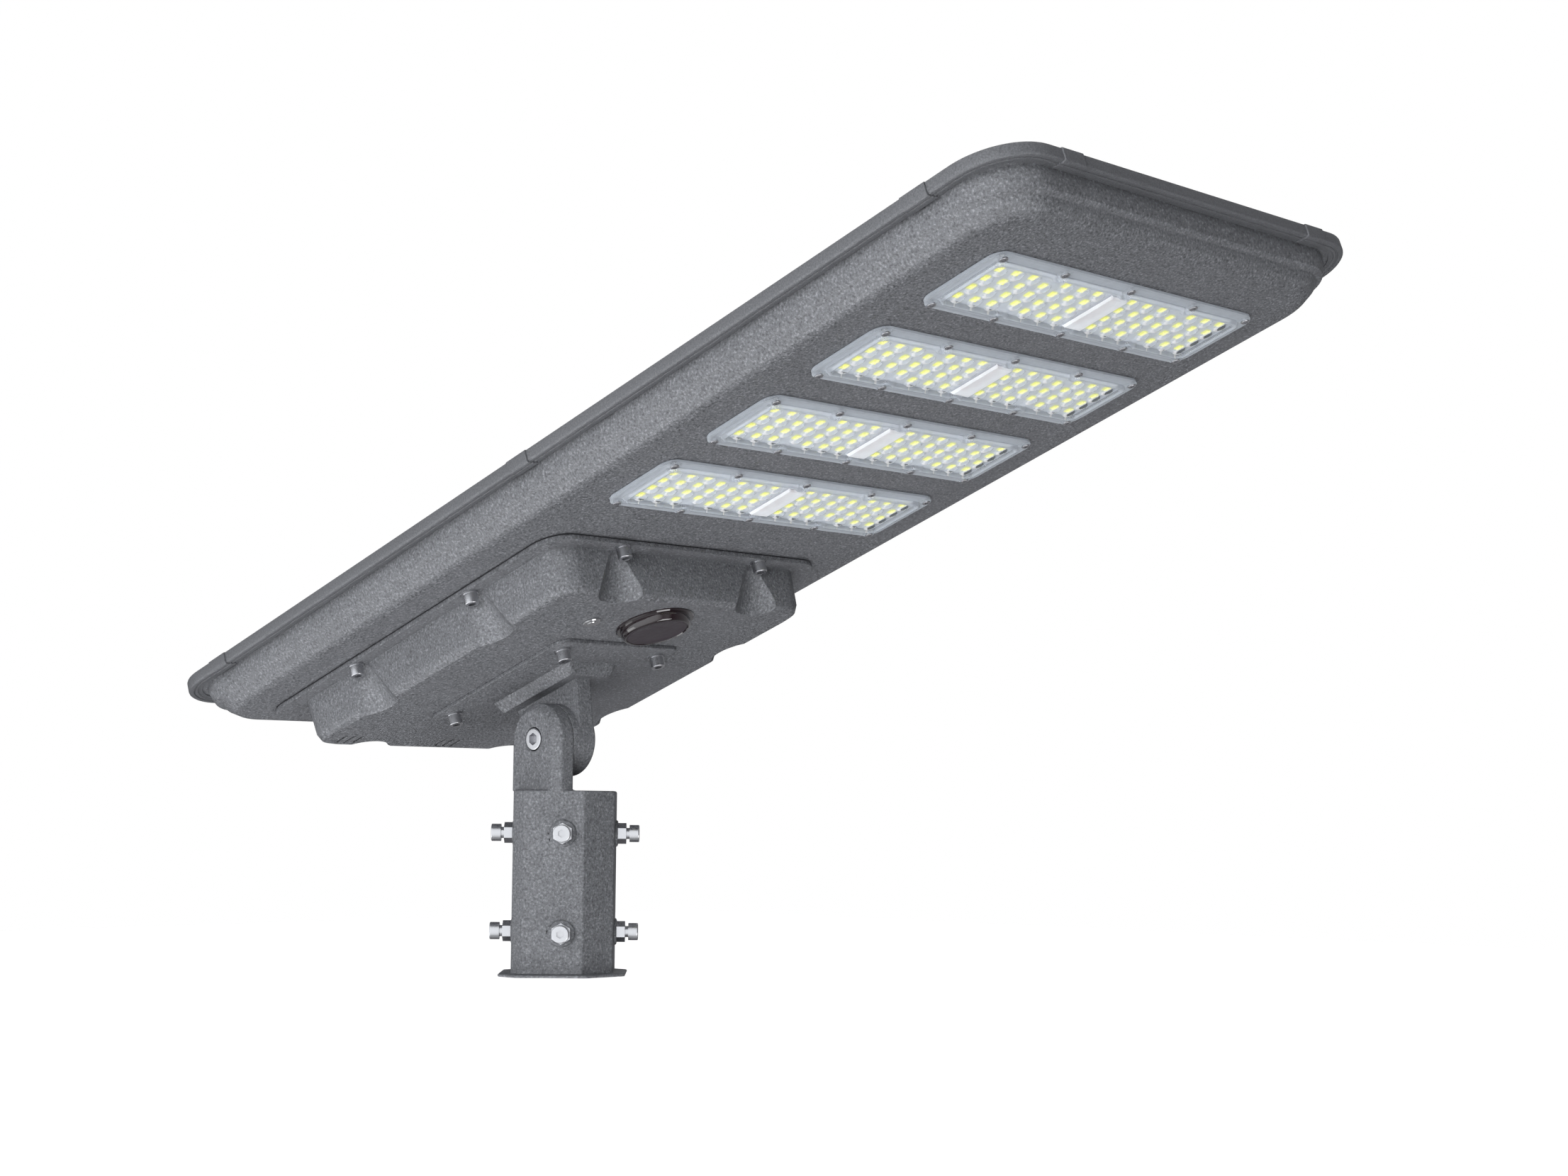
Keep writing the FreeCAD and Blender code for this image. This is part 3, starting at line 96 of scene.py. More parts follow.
def meshFrom(name, points, faces, place=None):
    mesh = bpy.data.meshes.new(name)
    mesh.from_pydata([tuple(p) for p in points], [], faces)
    mesh.validate()
    if place is not None:
        mesh.transform(place)
    work = bmesh.new()
    work.from_mesh(mesh)
    bmesh.ops.recalc_face_normals(work, faces=work.faces)
    work.to_mesh(mesh)
    work.free()
    mesh.update()
    return mesh


def latheMesh(name, outline, place, steps):      # outline is (radius, height), from the axis outwards and back
    points, faces = [], []
    for turn in range(steps):
        angle = 2 * math.pi * turn / steps
        points += [(r * math.cos(angle), r * math.sin(angle), z) for r, z in outline]
    count = len(outline)
    for turn in range(steps):
        here, there = turn * count, (turn + 1) % steps * count
        faces += [(here + k, there + k, there + k + 1, here + k + 1) for k in range(count - 1)]
    mesh = meshFrom(name, points, faces, place)
    work = bmesh.new()
    work.from_mesh(mesh)
    bmesh.ops.remove_doubles(work, verts=work.verts, dist=weldGap)
    work.to_mesh(mesh)
    work.free()
    return mesh


# where the camera stands and looks; the lens and its sensor are in millimetres
cameraSet = {
    "place": (-1.267, -1.405, 0.120), "right": (0.684, -0.730, 0.009), "ahead": (0.726, 0.682, 0.085),
    "lens": 59.53, "sensor": 36, "far": 100,
}


def makeCamera():
    ahead = Vector(cameraSet["ahead"]).normalized()
    right = Vector(cameraSet["right"])
    right = (right - ahead * right.dot(ahead)).normalized()
    up = right.cross(ahead)
    camera = bpy.data.cameras.new("camera")
    camera.lens = cameraSet["lens"]
    camera.sensor_width = cameraSet["sensor"]
    camera.clip_end = cameraSet["far"]
    holder = linkObject("camera", camera)
    turn = Matrix((right, up, -ahead)).transposed().to_4x4()
    holder.matrix_world = Matrix.Translation(cameraSet["place"]) @ turn
    bpy.context.scene.camera = holder


# area lamps: width in metres, power in watts, and whether glossy faces mirror the lamp itself
lightSet = {
    "front": {"place": (-2.6, -1.4, 0.55), "aim": (0, -0.1, 0.3), "wide": 1.8, "power": 118, "mirrored": False},
    "under": {"place": (-0.6, -0.2, -1.9), "aim": (0, -0.2, 0.4), "wide": 2.2, "power": 165, "mirrored": False},
    "underLight": {"place": (0.1, -2.2, -1.3), "aim": (0, -0.2, 0.4), "wide": 1.4, "power": 25, "mirrored": True},
    "underPole": {"place": (-1.6, 1.2, -1.3), "aim": (0, -0.2, 0.4), "wide": 1.4, "power": 10, "mirrored": True},
    "back": {"place": (2.6, 1.7, 1.3), "aim": (0, -0.1, 0.3), "wide": 1.2, "power": 50, "mirrored": False},
    "top": {"place": (0.6, 0.6, 2.6), "aim": (0, -0.1, 0.4), "wide": 2.6, "power": 60, "mirrored": True},
}
worldLight = {"seen": 1.0, "mirrored": 1.0, "soft": 0.05, "softColour": (0.93, 0.96, 1)}
# what glossy faces mirror, as bands from one side of the studio to the other
studioPanels = [
    (0.0, (1.5, 1.55, 1.6)), (0.22, (1.25, 1.28, 1.3)), (0.36, (0.35, 0.36, 0.37)),
    (0.50, (0.50, 0.51, 0.52)), (0.62, (0.10, 0.10, 0.11)), (1.0, (0.35, 0.35, 0.36)),
]
floorSet = {"drop": 1.6, "half": 30, "paper": (0.95, 0.95, 0.95), "roughness": 0.9, "glow": 1.0}


def makeLights():
    for name, item in lightSet.items():
        lamp = bpy.data.lights.new(name, "AREA")
        lamp.size = item["wide"]
        lamp.energy = item["power"]
        holder = linkObject(name, lamp)
        holder.location = item["place"]
        aim = Vector(item["aim"]) - Vector(item["place"])
        holder.rotation_euler = aim.to_track_quat("-Z", "Y").to_euler()
        holder.visible_glossy = item["mirrored"]


def makeWorld():
    world = bpy.data.worlds.new("studio")
    bpy.context.scene.world = world
    world.use_nodes = True
    tree = world.node_tree
    tree.nodes.clear()
    out = tree.nodes.new("ShaderNodeOutputWorld")
    path = tree.nodes.new("ShaderNodeLightPath")

    def sky(strength, colour=(1, 1, 1)):
        node = tree.nodes.new("ShaderNodeBackground")
        node.inputs["Color"].default_value = (*colour, 1)
        node.inputs["Strength"].default_value = strength
        return node

    def choose(test, no, yes):
        node = tree.nodes.new("ShaderNodeMixShader")
        tree.links.new(path.outputs[test], node.inputs[0])
        tree.links.new(no, node.inputs[1])
        tree.links.new(yes, node.inputs[2])
        return node.outputs[0]

    around = tree.nodes.new("ShaderNodeTexCoord")
    split = tree.nodes.new("ShaderNodeSeparateXYZ")
    tree.links.new(around.outputs["Generated"], split.inputs[0])
    panels = ramp(tree, spread(tree, split.outputs["X"], 0.0, 1.0, -1.0, 1.0), studioPanels)
    mirrored = sky(worldLight["mirrored"])
    tree.links.new(panels, mirrored.inputs["Color"])
    soft = sky(worldLight["soft"], worldLight["softColour"])
    rays = choose("Is Glossy Ray", soft.outputs[0], mirrored.outputs[0])
    tree.links.new(choose("Is Camera Ray", rays, sky(worldLight["seen"]).outputs[0]), out.inputs[0])
    bpy.context.scene.view_settings.view_transform = "Standard"


def makeFloor():                                 # pale paper far below, left out of the pieces' own light
    half, down = floorSet["half"], -floorSet["drop"]
    outline = [(-half, -half, down), (half, -half, down), (half, half, down), (-half, half, down)]
    mesh = meshFrom("studioFloor", outline, [(0, 1, 2, 3)])
    plane = linkObject("studioFloor", mesh)
    material, tree, shader = newMaterial("palePaper", floorSet["paper"], floorSet["roughness"])
    shader.inputs["Emission Color"].default_value = (1, 1, 1, 1)
    shader.inputs["Emission Strength"].default_value = floorSet["glow"]
    mesh.materials.append(material)
    plane.visible_diffuse = False
    plane.visible_glossy = False
    plane.visible_transmission = False


def newMaterial(name, colour, roughness, metallic=0.0):
    material = bpy.data.materials.new(name)
    material.use_nodes = True
    tree = material.node_tree
    shader = tree.nodes["Principled BSDF"]
    shader.inputs["Base Color"].default_value = (*colour, 1)
    shader.inputs["Roughness"].default_value = roughness
    shader.inputs["Metallic"].default_value = metallic
    return material, tree, shader


def objectPlace(tree, turn=(0, 0, 0), shift=(0, 0, 0)):
    source = tree.nodes.new("ShaderNodeTexCoord")
    mapping = tree.nodes.new("ShaderNodeMapping")
    mapping.inputs["Rotation"].default_value = turn
    mapping.inputs["Location"].default_value = shift
    tree.links.new(source.outputs["Object"], mapping.inputs["Vector"])
    return mapping.outputs["Vector"]


def noise(tree, place, scale, detail=2.0, rough=0.5):
    node = tree.nodes.new("ShaderNodeTexNoise")
    node.inputs["Scale"].default_value = scale
    node.inputs["Detail"].default_value = detail
    node.inputs["Roughness"].default_value = rough
    tree.links.new(place, node.inputs["Vector"])
    return node.outputs["Fac"]


def ramp(tree, source, stops):
    node = tree.nodes.new("ShaderNodeValToRGB")
    bar = node.color_ramp
    while len(bar.elements) < len(stops):
        bar.elements.new(0.5)
    for element, (place, colour) in zip(bar.elements, stops):
        element.position = place
        element.color = (*colour, 1)
    tree.links.new(source, node.inputs["Fac"])
    return node.outputs["Color"]


def spread(tree, source, low, high, fromLow=0.3, fromHigh=0.7):
    node = tree.nodes.new("ShaderNodeMapRange")
    node.inputs["From Min"].default_value = fromLow
    node.inputs["From Max"].default_value = fromHigh
    node.inputs["To Min"].default_value = low
    node.inputs["To Max"].default_value = high
    tree.links.new(source, node.inputs["Value"])
    return node.outputs["Result"]


def multiply(tree, first, second):
    node = tree.nodes.new("ShaderNodeMix")
    node.data_type = "RGBA"
    node.blend_type = "MULTIPLY"
    node.inputs["Factor"].default_value = 1.0
    tree.links.new(first, node.inputs["A"])
    tree.links.new(second, node.inputs["B"])
    return node.outputs["Result"]


def bump(tree, shader, source, strength, depth):
    node = tree.nodes.new("ShaderNodeBump")
    node.inputs["Strength"].default_value = strength
    node.inputs["Distance"].default_value = depth
    tree.links.new(source, node.inputs["Height"])
    tree.links.new(node.outputs["Normal"], shader.inputs["Normal"])
    return node


def grey(value, tint):
    return tuple(value * t for t in tint)


# brightness of the coat's grains, their fineness, its roughness and the rounding of edges in millimetres
powderLooks = {
    "castGrey": {"mid": 0.128, "low": 0.066, "high": 0.230, "grain": 620, "rough": (0.42, 0.62), "edge": 1.5},
    "rimGrey": {"mid": 0.115, "low": 0.085, "high": 0.150, "grain": 900, "rough": (0.34, 0.46), "edge": 0.5},
}
powderShared = {
    "tint": (0.97, 1.0, 1.08), "shine": 0.2, "detail": 2.5, "grainRough": 0.62, "stops": (0.30, 0.45, 0.56, 0.70),
    "swing": 0.07, "cloudSize": 14, "cloudDark": (0.93, 0.93, 0.93), "dentFine": 1.3, "dentStrength": 0.55,
    "dentDepth": 0.0005, "edgeSamples": 4,
}


def powderCoat(name):
    look, same = powderLooks[name], powderShared
    tint, mid = same["tint"], look["mid"]
    material, tree, shader = newMaterial(name, grey(mid, tint), roughness=0.5)
    place = objectPlace(tree)
    grain = noise(tree, place, look["grain"], same["detail"], same["grainRough"])
    tones = (look["low"], mid * (1 - same["swing"]), mid * (1 + same["swing"]), look["high"])
    speckle = ramp(tree, grain, [(stop, grey(tone, tint)) for stop, tone in zip(same["stops"], tones)])
    cloudNoise = noise(tree, place, same["cloudSize"], detail=3)
    cloud = ramp(tree, cloudNoise, [(0.3, same["cloudDark"]), (0.7, (1, 1, 1))])
    tree.links.new(multiply(tree, speckle, cloud), shader.inputs["Base Color"])
    tree.links.new(spread(tree, grain, *look["rough"]), shader.inputs["Roughness"])
    shader.inputs["Specular IOR Level"].default_value = same["shine"]
    dentNoise = noise(tree, place, look["grain"] * same["dentFine"], detail=2)
    dents = bump(tree, shader, dentNoise, same["dentStrength"], same["dentDepth"])
    edge = tree.nodes.new("ShaderNodeBevel")
    edge.samples = same["edgeSamples"]
    edge.inputs["Radius"].default_value = look["edge"] * mm
    tree.links.new(edge.outputs["Normal"], dents.inputs["Normal"])
    return material


def steel(name, colour=(0.60, 0.60, 0.62), rough=(0.24, 0.34), grain=160):
    material, tree, shader = newMaterial(name, colour, roughness=0.22, metallic=1.0)
    streak = noise(tree, objectPlace(tree), grain, detail=4, rough=0.65)
    tone = ramp(tree, streak, [(0.25, grey(0.93, colour)), (0.75, colour)])
    tree.links.new(tone, shader.inputs["Base Color"])
    tree.links.new(spread(tree, streak, *rough), shader.inputs["Roughness"])
    bump(tree, shader, streak, strength=0.02, depth=0.0001)
    return material


def mouldedPlastic(name, colour, rough=(0.35, 0.5), grain=400, coat=0.0):
    material, tree, shader = newMaterial(name, colour, roughness=0.4)
    texture = noise(tree, objectPlace(tree), grain, detail=3)
    tone = ramp(tree, texture, [(0.3, grey(0.86, colour)), (0.7, colour)])
    tree.links.new(tone, shader.inputs["Base Color"])
    tree.links.new(spread(tree, texture, *rough), shader.inputs["Roughness"])
    shader.inputs["Coat Weight"].default_value = coat
    shader.inputs["Coat Roughness"].default_value = 0.04
    bump(tree, shader, texture, strength=0.15, depth=0.0002)
    return material


# low and high are the alpha where the surface faces the viewer and where it is seen edge-on
def clearPolycarbonate(name, colour, low, high, rough=0.05, glint=0.55):
    material, tree, shader = newMaterial(name, colour, rough)
    haze = noise(tree, objectPlace(tree), scale=180, detail=3)
    tree.links.new(ramp(tree, haze, [(0.3, grey(0.93, colour)), (0.7, colour)]), shader.inputs["Base Color"])
    facing = tree.nodes.new("ShaderNodeLayerWeight")
    facing.inputs["Blend"].default_value = 0.42
    tree.links.new(spread(tree, facing.outputs["Facing"], low, high, 0.0, 1.0), shader.inputs["Alpha"])
    shader.inputs["Specular IOR Level"].default_value = glint
    bump(tree, shader, haze, strength=0.05, depth=0.0002)
    return material


# the chips' yellow phosphor; glow is a painted glow, so the unlit chips shine through the domes as if lit
chipLook = {"base": (0.80, 0.76, 0.001), "low": (0.70, 0.70, 0.001), "high": (0.84, 0.84, 0.002), "glow": 0.55}


def phosphorPaintedGlow(name):
    material, tree, shader = newMaterial(name, chipLook["base"], roughness=0.7)
    shader.inputs["Specular IOR Level"].default_value = 0.1
    grains = noise(tree, objectPlace(tree), scale=1500, detail=2)
    tone = ramp(tree, grains, [(0.3, chipLook["low"]), (0.7, chipLook["high"])])
    tree.links.new(tone, shader.inputs["Base Color"])
    # the same yellow is painted on as emission, a painted glow, so the chips shine though no lamp lights them
    tree.links.new(tone, shader.inputs["Emission Color"])
    shader.inputs["Emission Strength"].default_value = chipLook["glow"]
    return material


# metres; wide bars run along the head, fine fingers across it
cellLook = {
    "columns": 4, "bars": 3, "barWide": 0.0014, "fingerPitch": 0.0024, "fingerWide": 0.00008,
    "base": (0.01, 0.016, 0.05), "low": (0.006, 0.010, 0.035), "high": (0.012, 0.020, 0.065),
    "print": (0.45, 0.47, 0.50), "coat": 0.6,
}


def solarCell(name):
    look = cellLook
    material, tree, shader = newMaterial(name, look["base"], roughness=0.25)
    low, high = headBox("solar_cells")
    levelPivot = Matrix.Rotation(headTilt, 3, "X") @ pivot
    place = objectPlace(tree, (headTilt, 0, 0), (-low.x, -levelPivot.y - low.y, 0))
    split = tree.nodes.new("ShaderNodeSeparateXYZ")
    tree.links.new(place, split.inputs[0])
    grains = noise(tree, place, scale=60, detail=3)
    silicon = ramp(tree, grains, [(0.35, look["low"]), (0.65, look["high"])])

    def lines(axis, pitch, width):
        wrap = tree.nodes.new("ShaderNodeMath")
        wrap.operation = "PINGPONG"
        wrap.inputs[1].default_value = pitch / 2
        tree.links.new(split.outputs[axis], wrap.inputs[0])
        cut = tree.nodes.new("ShaderNodeMath")
        cut.operation = "LESS_THAN"
        cut.inputs[1].default_value = width / 2
        tree.links.new(wrap.outputs[0], cut.inputs[0])
        return cut.outputs[0]

    cellWide = (high.x - low.x) / look["columns"]
    bars = lines("X", cellWide / look["bars"], look["barWide"])
    fingers = lines("Y", look["fingerPitch"], look["fingerWide"])
    both = tree.nodes.new("ShaderNodeMath")
    both.operation = "MAXIMUM"
    tree.links.new(bars, both.inputs[0])
    tree.links.new(fingers, both.inputs[1])
    mix = tree.nodes.new("ShaderNodeMix")
    mix.data_type = "RGBA"
    tree.links.new(both.outputs[0], mix.inputs["Factor"])
    tree.links.new(silicon, mix.inputs["A"])
    mix.inputs["B"].default_value = (*look["print"], 1)
    tree.links.new(mix.outputs["Result"], shader.inputs["Base Color"])
    shader.inputs["Coat Weight"].default_value = look["coat"]
    return material


print("materials")
castGrey = powderCoat("castGrey")
rimGrey = powderCoat("rimGrey")
stainless = steel("stainless")
brightRing = steel("brightRing", (0.62, 0.62, 0.63), rough=(0.10, 0.18), grain=120)
sealRubber = mouldedPlastic("sealRubber", (0.018, 0.018, 0.020), rough=(0.6, 0.8), grain=700)
paleSilicone = mouldedPlastic("paleSilicone", (0.17, 0.185, 0.21), rough=(0.5, 0.7), grain=500)
clearPlate = clearPolycarbonate("clearPlate", (0.74, 0.80, 0.88), low=0.22, high=0.92)
clearDome = clearPolycarbonate("clearDome", (0.97, 0.98, 1.0), low=0.35, high=0.95)
clearWindow = clearPolycarbonate("clearWindow", (0.9, 0.9, 0.1), low=0.0, high=0.03, glint=0.05)
frosted = clearPolycarbonate("frosted", (0.90, 0.93, 0.97), low=0.62, high=0.98, rough=0.3)
boardWhite = mouldedPlastic("boardWhite", (0.66, 0.70, 0.76), grain=300)
chipYellow = phosphorPaintedGlow("chipYellow")
sensorGloss = mouldedPlastic("sensorGloss", (0.012, 0.004, 0.006), rough=(0.04, 0.08), grain=40, coat=1.0)
sensorMatt = mouldedPlastic("sensorMatt", (0.052, 0.040, 0.050), rough=(0.3, 0.45), grain=220)
blackPlastic = mouldedPlastic("blackPlastic", (0.02, 0.02, 0.022))
panelGlass = clearPolycarbonate("panelGlass", (0.80, 0.88, 0.95), low=0.06, high=0.75, rough=0.04)
backsheetWhite = mouldedPlastic("backsheetWhite", (0.72, 0.72, 0.70))
cellBlue = solarCell("cellBlue")
cellWrap = mouldedPlastic("cellWrap", (0.02, 0.10, 0.35), rough=(0.2, 0.35), grain=300)
circuitGreen = mouldedPlastic("circuitGreen", (0.02, 0.14, 0.05), rough=(0.3, 0.45), grain=500)
aluminium = steel("aluminium", (0.62, 0.63, 0.65), rough=(0.3, 0.45))
wireRed = mouldedPlastic("wireRed", (0.30, 0.015, 0.02), rough=(0.3, 0.45), grain=500)

nodeLooks = {
    "pole_set_screws": stainless, "set_screw_nuts": stainless, "tilt_bolt": stainless,
    "tilt_bolt_washer": stainless, "tilt_bolt_nut": stainless, "switch_button": brightRing,
    "plate_screws": stainless, "plate_screw_washers": stainless, "cover_gasket": sealRubber,
    "cover_screws": stainless, "cover_screw_washers": stainless, "solar_glass": panelGlass,
    "solar_backsheet": backsheetWhite, "panel_gasket": sealRubber, "solar_cells": cellBlue,
    "junction_box": blackPlastic, "lens_screws": stainless, "sensor_bezel": sensorGloss,
    "sensor_body": blackPlastic, "sensor_nut": blackPlastic, "sensor_board": circuitGreen,
    "switch_body": brightRing, "switch_nut": stainless, "battery_cells": cellWrap,
    "battery_tray": blackPlastic, "protection_board": circuitGreen, "charge_controller": aluminium,
}


def dressNodes():
    looks = dict(nodeLooks)
    for index in range(1, 5):
        looks["lens_gasket_%d" % index] = paleSilicone
        looks["led_board_%d" % index] = boardWhite
        looks["led_chips_%d" % index] = chipYellow
    for name, material in looks.items():
        slots = nodes[name].data.materials
        if not slots:
            slots.append(material)
        for k in range(len(slots)):
            slots[k] = material


# each node's finished piece, its body and its edge rounding in millimetres; clamp keeps bevels from crossing
castings = {
    "housing_shell": {"piece": "housing", "body": "head", "edge": 0.6, "clamp": True},
    "battery_cover": {"piece": "batteryCover", "body": "head", "edge": 0.8, "clamp": True},
    "mount_plate": {"piece": "tiltLug", "body": "head", "edge": 1.0, "clamp": True},
    "pole_sleeve": {"piece": "poleSleeve", "body": "bracket", "edge": 1.1, "clamp": False},
}
castingShared = {"weld": 0.00002, "flatAngle": 1.5, "edgeAngle": 32, "segments": 2, "smooth": 33, "flatWeight": 100}


def applyModifiers(piece):
    bpy.context.view_layer.update()
    shaped = bpy.data.meshes.new_from_object(piece.evaluated_get(bpy.context.evaluated_depsgraph_get()))
    piece.modifiers.clear()
    piece.data = shaped


def makeCastings():
    same = castingShared
    flatAngle = math.radians(same["flatAngle"])
    for name, item in castings.items():
        mesh = nodes[name].data.copy()
        mesh.materials.clear()
        work = bmesh.new()
        work.from_mesh(mesh)
        bmesh.ops.remove_doubles(work, verts=work.verts, dist=same["weld"])
        bmesh.ops.dissolve_limit(work, angle_limit=flatAngle, verts=work.verts, edges=work.edges)
        work.to_mesh(mesh)
        work.free()
        piece = linkObject(item["piece"], mesh)
        bevel = piece.modifiers.new("softEdge", "BEVEL")
        bevel.width = item["edge"] * mm
        bevel.segments = same["segments"]
        bevel.limit_method = "ANGLE"
        bevel.angle_limit = math.radians(same["edgeAngle"])
        bevel.use_clamp_overlap = item["clamp"]
        applyModifiers(piece)
        piece.data.materials.clear()
        piece.data.materials.append(castGrey)
        shadeByAngle(piece.data, same["smooth"])
        flat = piece.modifiers.new("flatFaces", "WEIGHTED_NORMAL")     # large flat faces stay flat
        flat.weight = same["flatWeight"]
        flat.keep_sharp = True
        applyModifiers(piece)
        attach(piece, item["body"])
        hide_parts(name)
        print("  casting", item["piece"], len(piece.data.polygons))


# the rim bar's section, its corners and its sockets, in millimetres
rimShape = {
    "lip": 12.5, "wall": 2.4, "foot": 10.0, "sheet": 1.2, "topRound": 0.9, "knee": 1.6, "groove": (3.6, 5.0),
    "bead": 6.6, "grooveDepth": 0.7, "corner": 41.0, "proud": 1.0, "collar": 19.0, "seam": 0.2, "step": 3.5,
}


def rimProfile(height):                          # (in from the outer face, up from the bottom)
    s = rimShape
    knee = [(s["knee"] * (1 - math.sin(a)), s["knee"] * (1 - math.cos(a)))
            for a in (math.radians(v) for v in (0, 30, 60, 90))]
    grooveStart, grooveEnd = s["groove"]
    deep = s["grooveDepth"]
    under = [(s["foot"], s["sheet"]), (s["foot"], deep), (s["bead"] + 0.5, deep), (s["bead"], 0.1),
             (s["bead"] - 0.6, 0.0), (grooveEnd, 0.25), (grooveEnd - 0.3, deep), (grooveStart + 0.3, deep),
             (grooveStart, 0.0)]
    top = [(0, height - s["topRound"]), (0.28, height - 0.28), (s["topRound"], height),
           (s["lip"], height), (s["lip"], height - s["sheet"]), (s["wall"], height - s["sheet"]),
           (s["wall"], s["sheet"])]
    return under + knee + top


# place and inward direction at a run along the outer edge, from the middle of the light end
def rimPoint(run, halfWide, lightEnd, poleEnd, radius):
    flat = halfWide - radius
    side = poleEnd - lightEnd - 2 * radius
    arc = math.pi / 2 * radius
    spans = [(flat, "line"), (arc, "arc"), (side, "line"), (arc, "arc"), (2 * flat, "line"), (arc, "arc"),
             (side, "line"), (arc, "arc"), (flat, "line")]
    total = sum(length for length, kind in spans)
    run = run % total
    place, heading = Vector((0, lightEnd)), 0.0
    for length, kind in spans:
        step = min(run, length)
        if kind == "line":
            place = place + Vector((math.cos(heading), math.sin(heading))) * step
        else:
            turn = step / radius
            centre = place + Vector((-math.sin(heading), math.cos(heading))) * radius
            place = centre + Vector((math.sin(heading + turn), -math.cos(heading + turn))) * radius
            heading += turn
        run -= step
        if run <= 1e-9:
            break
    return place, Vector((-math.sin(heading), math.cos(heading)))


def sweepRim(start, stop, track, profile, base, grow):     # grow makes a socket stand proud of the bar
    halfWide, lightEnd, poleEnd = track
    radius = rimShape["corner"] * mm
    count = max(2, int(math.ceil((stop - start) / (rimShape["step"] * mm))) + 1)
    points, faces = [], []
    for k in range(count):
        run = start + (stop - start) * k / (count - 1)
        place, inward = rimPoint(run, halfWide, lightEnd, poleEnd, radius)
        for inset, rise in profile:
            inset = inset - (grow if inset < rimShape["lip"] - 0.1 else 0)
            drop = grow if rise < rimShape["sheet"] else 0
            spot = place + inward * inset * mm
            points.append((spot.x, spot.y, base + (rise - drop) * mm))
    width = len(profile)
    for k in range(count - 1):
        for j in range(width):
            a, b = k * width + j, k * width + (j + 1) % width
            faces.append((a, b, b + width, a + width))
    faces.append(tuple(range(width)))
    faces.append(tuple((count - 1) * width + j for j in range(width)))
    return points, faces


def makeRim():
    boxes = {name: headBox(name) for name in nodes if name.startswith("rim_")}
    low, high = boxes["rim_corner_led_left"]
    halfWide, lightEnd, base = -low.x, low.y, low.z
    poleEnd = boxes["rim_corner_pole_right"][1].y
    height = (high.z - base) / mm
    track = (halfWide, lightEnd, poleEnd)
    radius = rimShape["corner"] * mm
    profile = rimProfile(height)
    flat = halfWide - radius
    arc = math.pi / 2 * radius
    side = poleEnd - lightEnd - 2 * radius
    rightStart = flat + arc
    poleStart = rightStart + side + arc
    leftStart = poleStart + 2 * flat + arc
    total = leftStart + side + arc + flat

    def onRight(y):
        return rightStart + y - lightEnd - radius

    def onPole(x):
        return poleStart + flat - x

    def onLeft(y):
        return leftStart + poleEnd - radius - y

    ledEnd, poleStrip = boxes["rim_end_led"], boxes["rim_end_pole"]
    collar = rimShape["collar"] * mm
    seam = rimShape["seam"] * mm
    rightLed, rightPole = boxes["rim_side_right_led"], boxes["rim_side_right_pole"]
    leftLed, leftPole = boxes["rim_side_left_led"], boxes["rim_side_left_pole"]
    runs = {
        "rim_end_led": (ledEnd[0].x, ledEnd[1].x, "start"),
        "rim_corner_led_right": (ledEnd[1].x + seam, onRight(rightLed[0].y) - seam, "both"),
        "rim_side_right_led": (onRight(rightLed[0].y), onRight(rightLed[1].y), "stop"),
        "rim_side_right_pole": (onRight(rightPole[0].y), onRight(rightPole[1].y), "stop"),
        "rim_corner_pole_right": (onRight(rightPole[1].y) + seam, onPole(poleStrip[1].x) - seam, "none"),
        "rim_end_pole": (onPole(poleStrip[1].x), onPole(poleStrip[0].x), "start"),
        "rim_corner_pole_left": (onPole(poleStrip[0].x) + seam, onLeft(leftPole[1].y) - seam, "both"),
        "rim_side_left_pole": (onLeft(leftPole[1].y), onLeft(leftPole[0].y), "stop"),
        "rim_side_left_led": (onLeft(leftLed[1].y), onLeft(leftLed[0].y), "stop"),
        "rim_corner_led_left": (onLeft(leftLed[0].y) + seam, total + ledEnd[0].x - seam, "none"),
    }
    for name, (start, stop, sockets) in runs.items():
        parts = []
        low, high = start, stop
        if sockets in ("start", "both"):
            parts.append((start, start + collar, rimShape["proud"]))
            low = start + collar
        if sockets in ("stop", "both"):
            parts.append((stop - collar, stop, rimShape["proud"]))
            high = stop - collar
        parts.append((low, high, 0))
        points, faces = [], []
        for a, b, grow in parts:
            morePoints, moreFaces = sweepRim(a, b, track, profile, base, grow)
            faces += [tuple(index + len(points) for index in face) for face in moreFaces]
            points += morePoints
        mesh = meshFrom(name + "_bar", points, faces, headFrame)
        pieceName = "rim" + "".join(word.capitalize() for word in name.split("_")[1:])
        addPiece(pieceName, mesh, rimGrey, "head", replaced=(name,), smooth=40)
    print("rim:", len(runs), "pieces")


# lens plates, in millimetres; a boss stands round each screw and a drop-shaped dome over each chip
lensShape = {
    "corner": 11.0, "step": 1.0, "flange": 1.8, "edgeDrop": 0.7, "edgeRound": 0.9, "lipUp": 0.5, "lipIn": (0.9, 1.4),
    "lipOut": (2.2, 2.8), "ridgeIn": 7.2, "ridgeWide": 2.6, "ridgeUp": 2.6, "ridgeSlope": 1.0, "fieldUp": 0.1,
    "fieldSlope": 1.2, "screwRoom": 5.2, "bossUp": 0.9, "bossRadius": 4.6, "bossSlope": 0.8, "domeLong": 6.6,
    "domeWide": 4.6, "domeUp": 2.0, "domeShift": -1.0, "domeAxis": (0.62, 0.78), "domeTaper": 0.28,
    "domeLean": 0.18, "domeEdge": 0.98, "bridgeWide": 9.0, "bridgeLong": 21.0, "bridgeUp": 2.4,
    "bridgeSoft": (1.5, 2.0), "bridgeEdge": 0.05, "window": 3.7, "windowShift": 1.3,
}
lensKinds = {"plate": 0, "dome": 1, "window": 2, "bridge": 3}      # places in the lens's list of materials


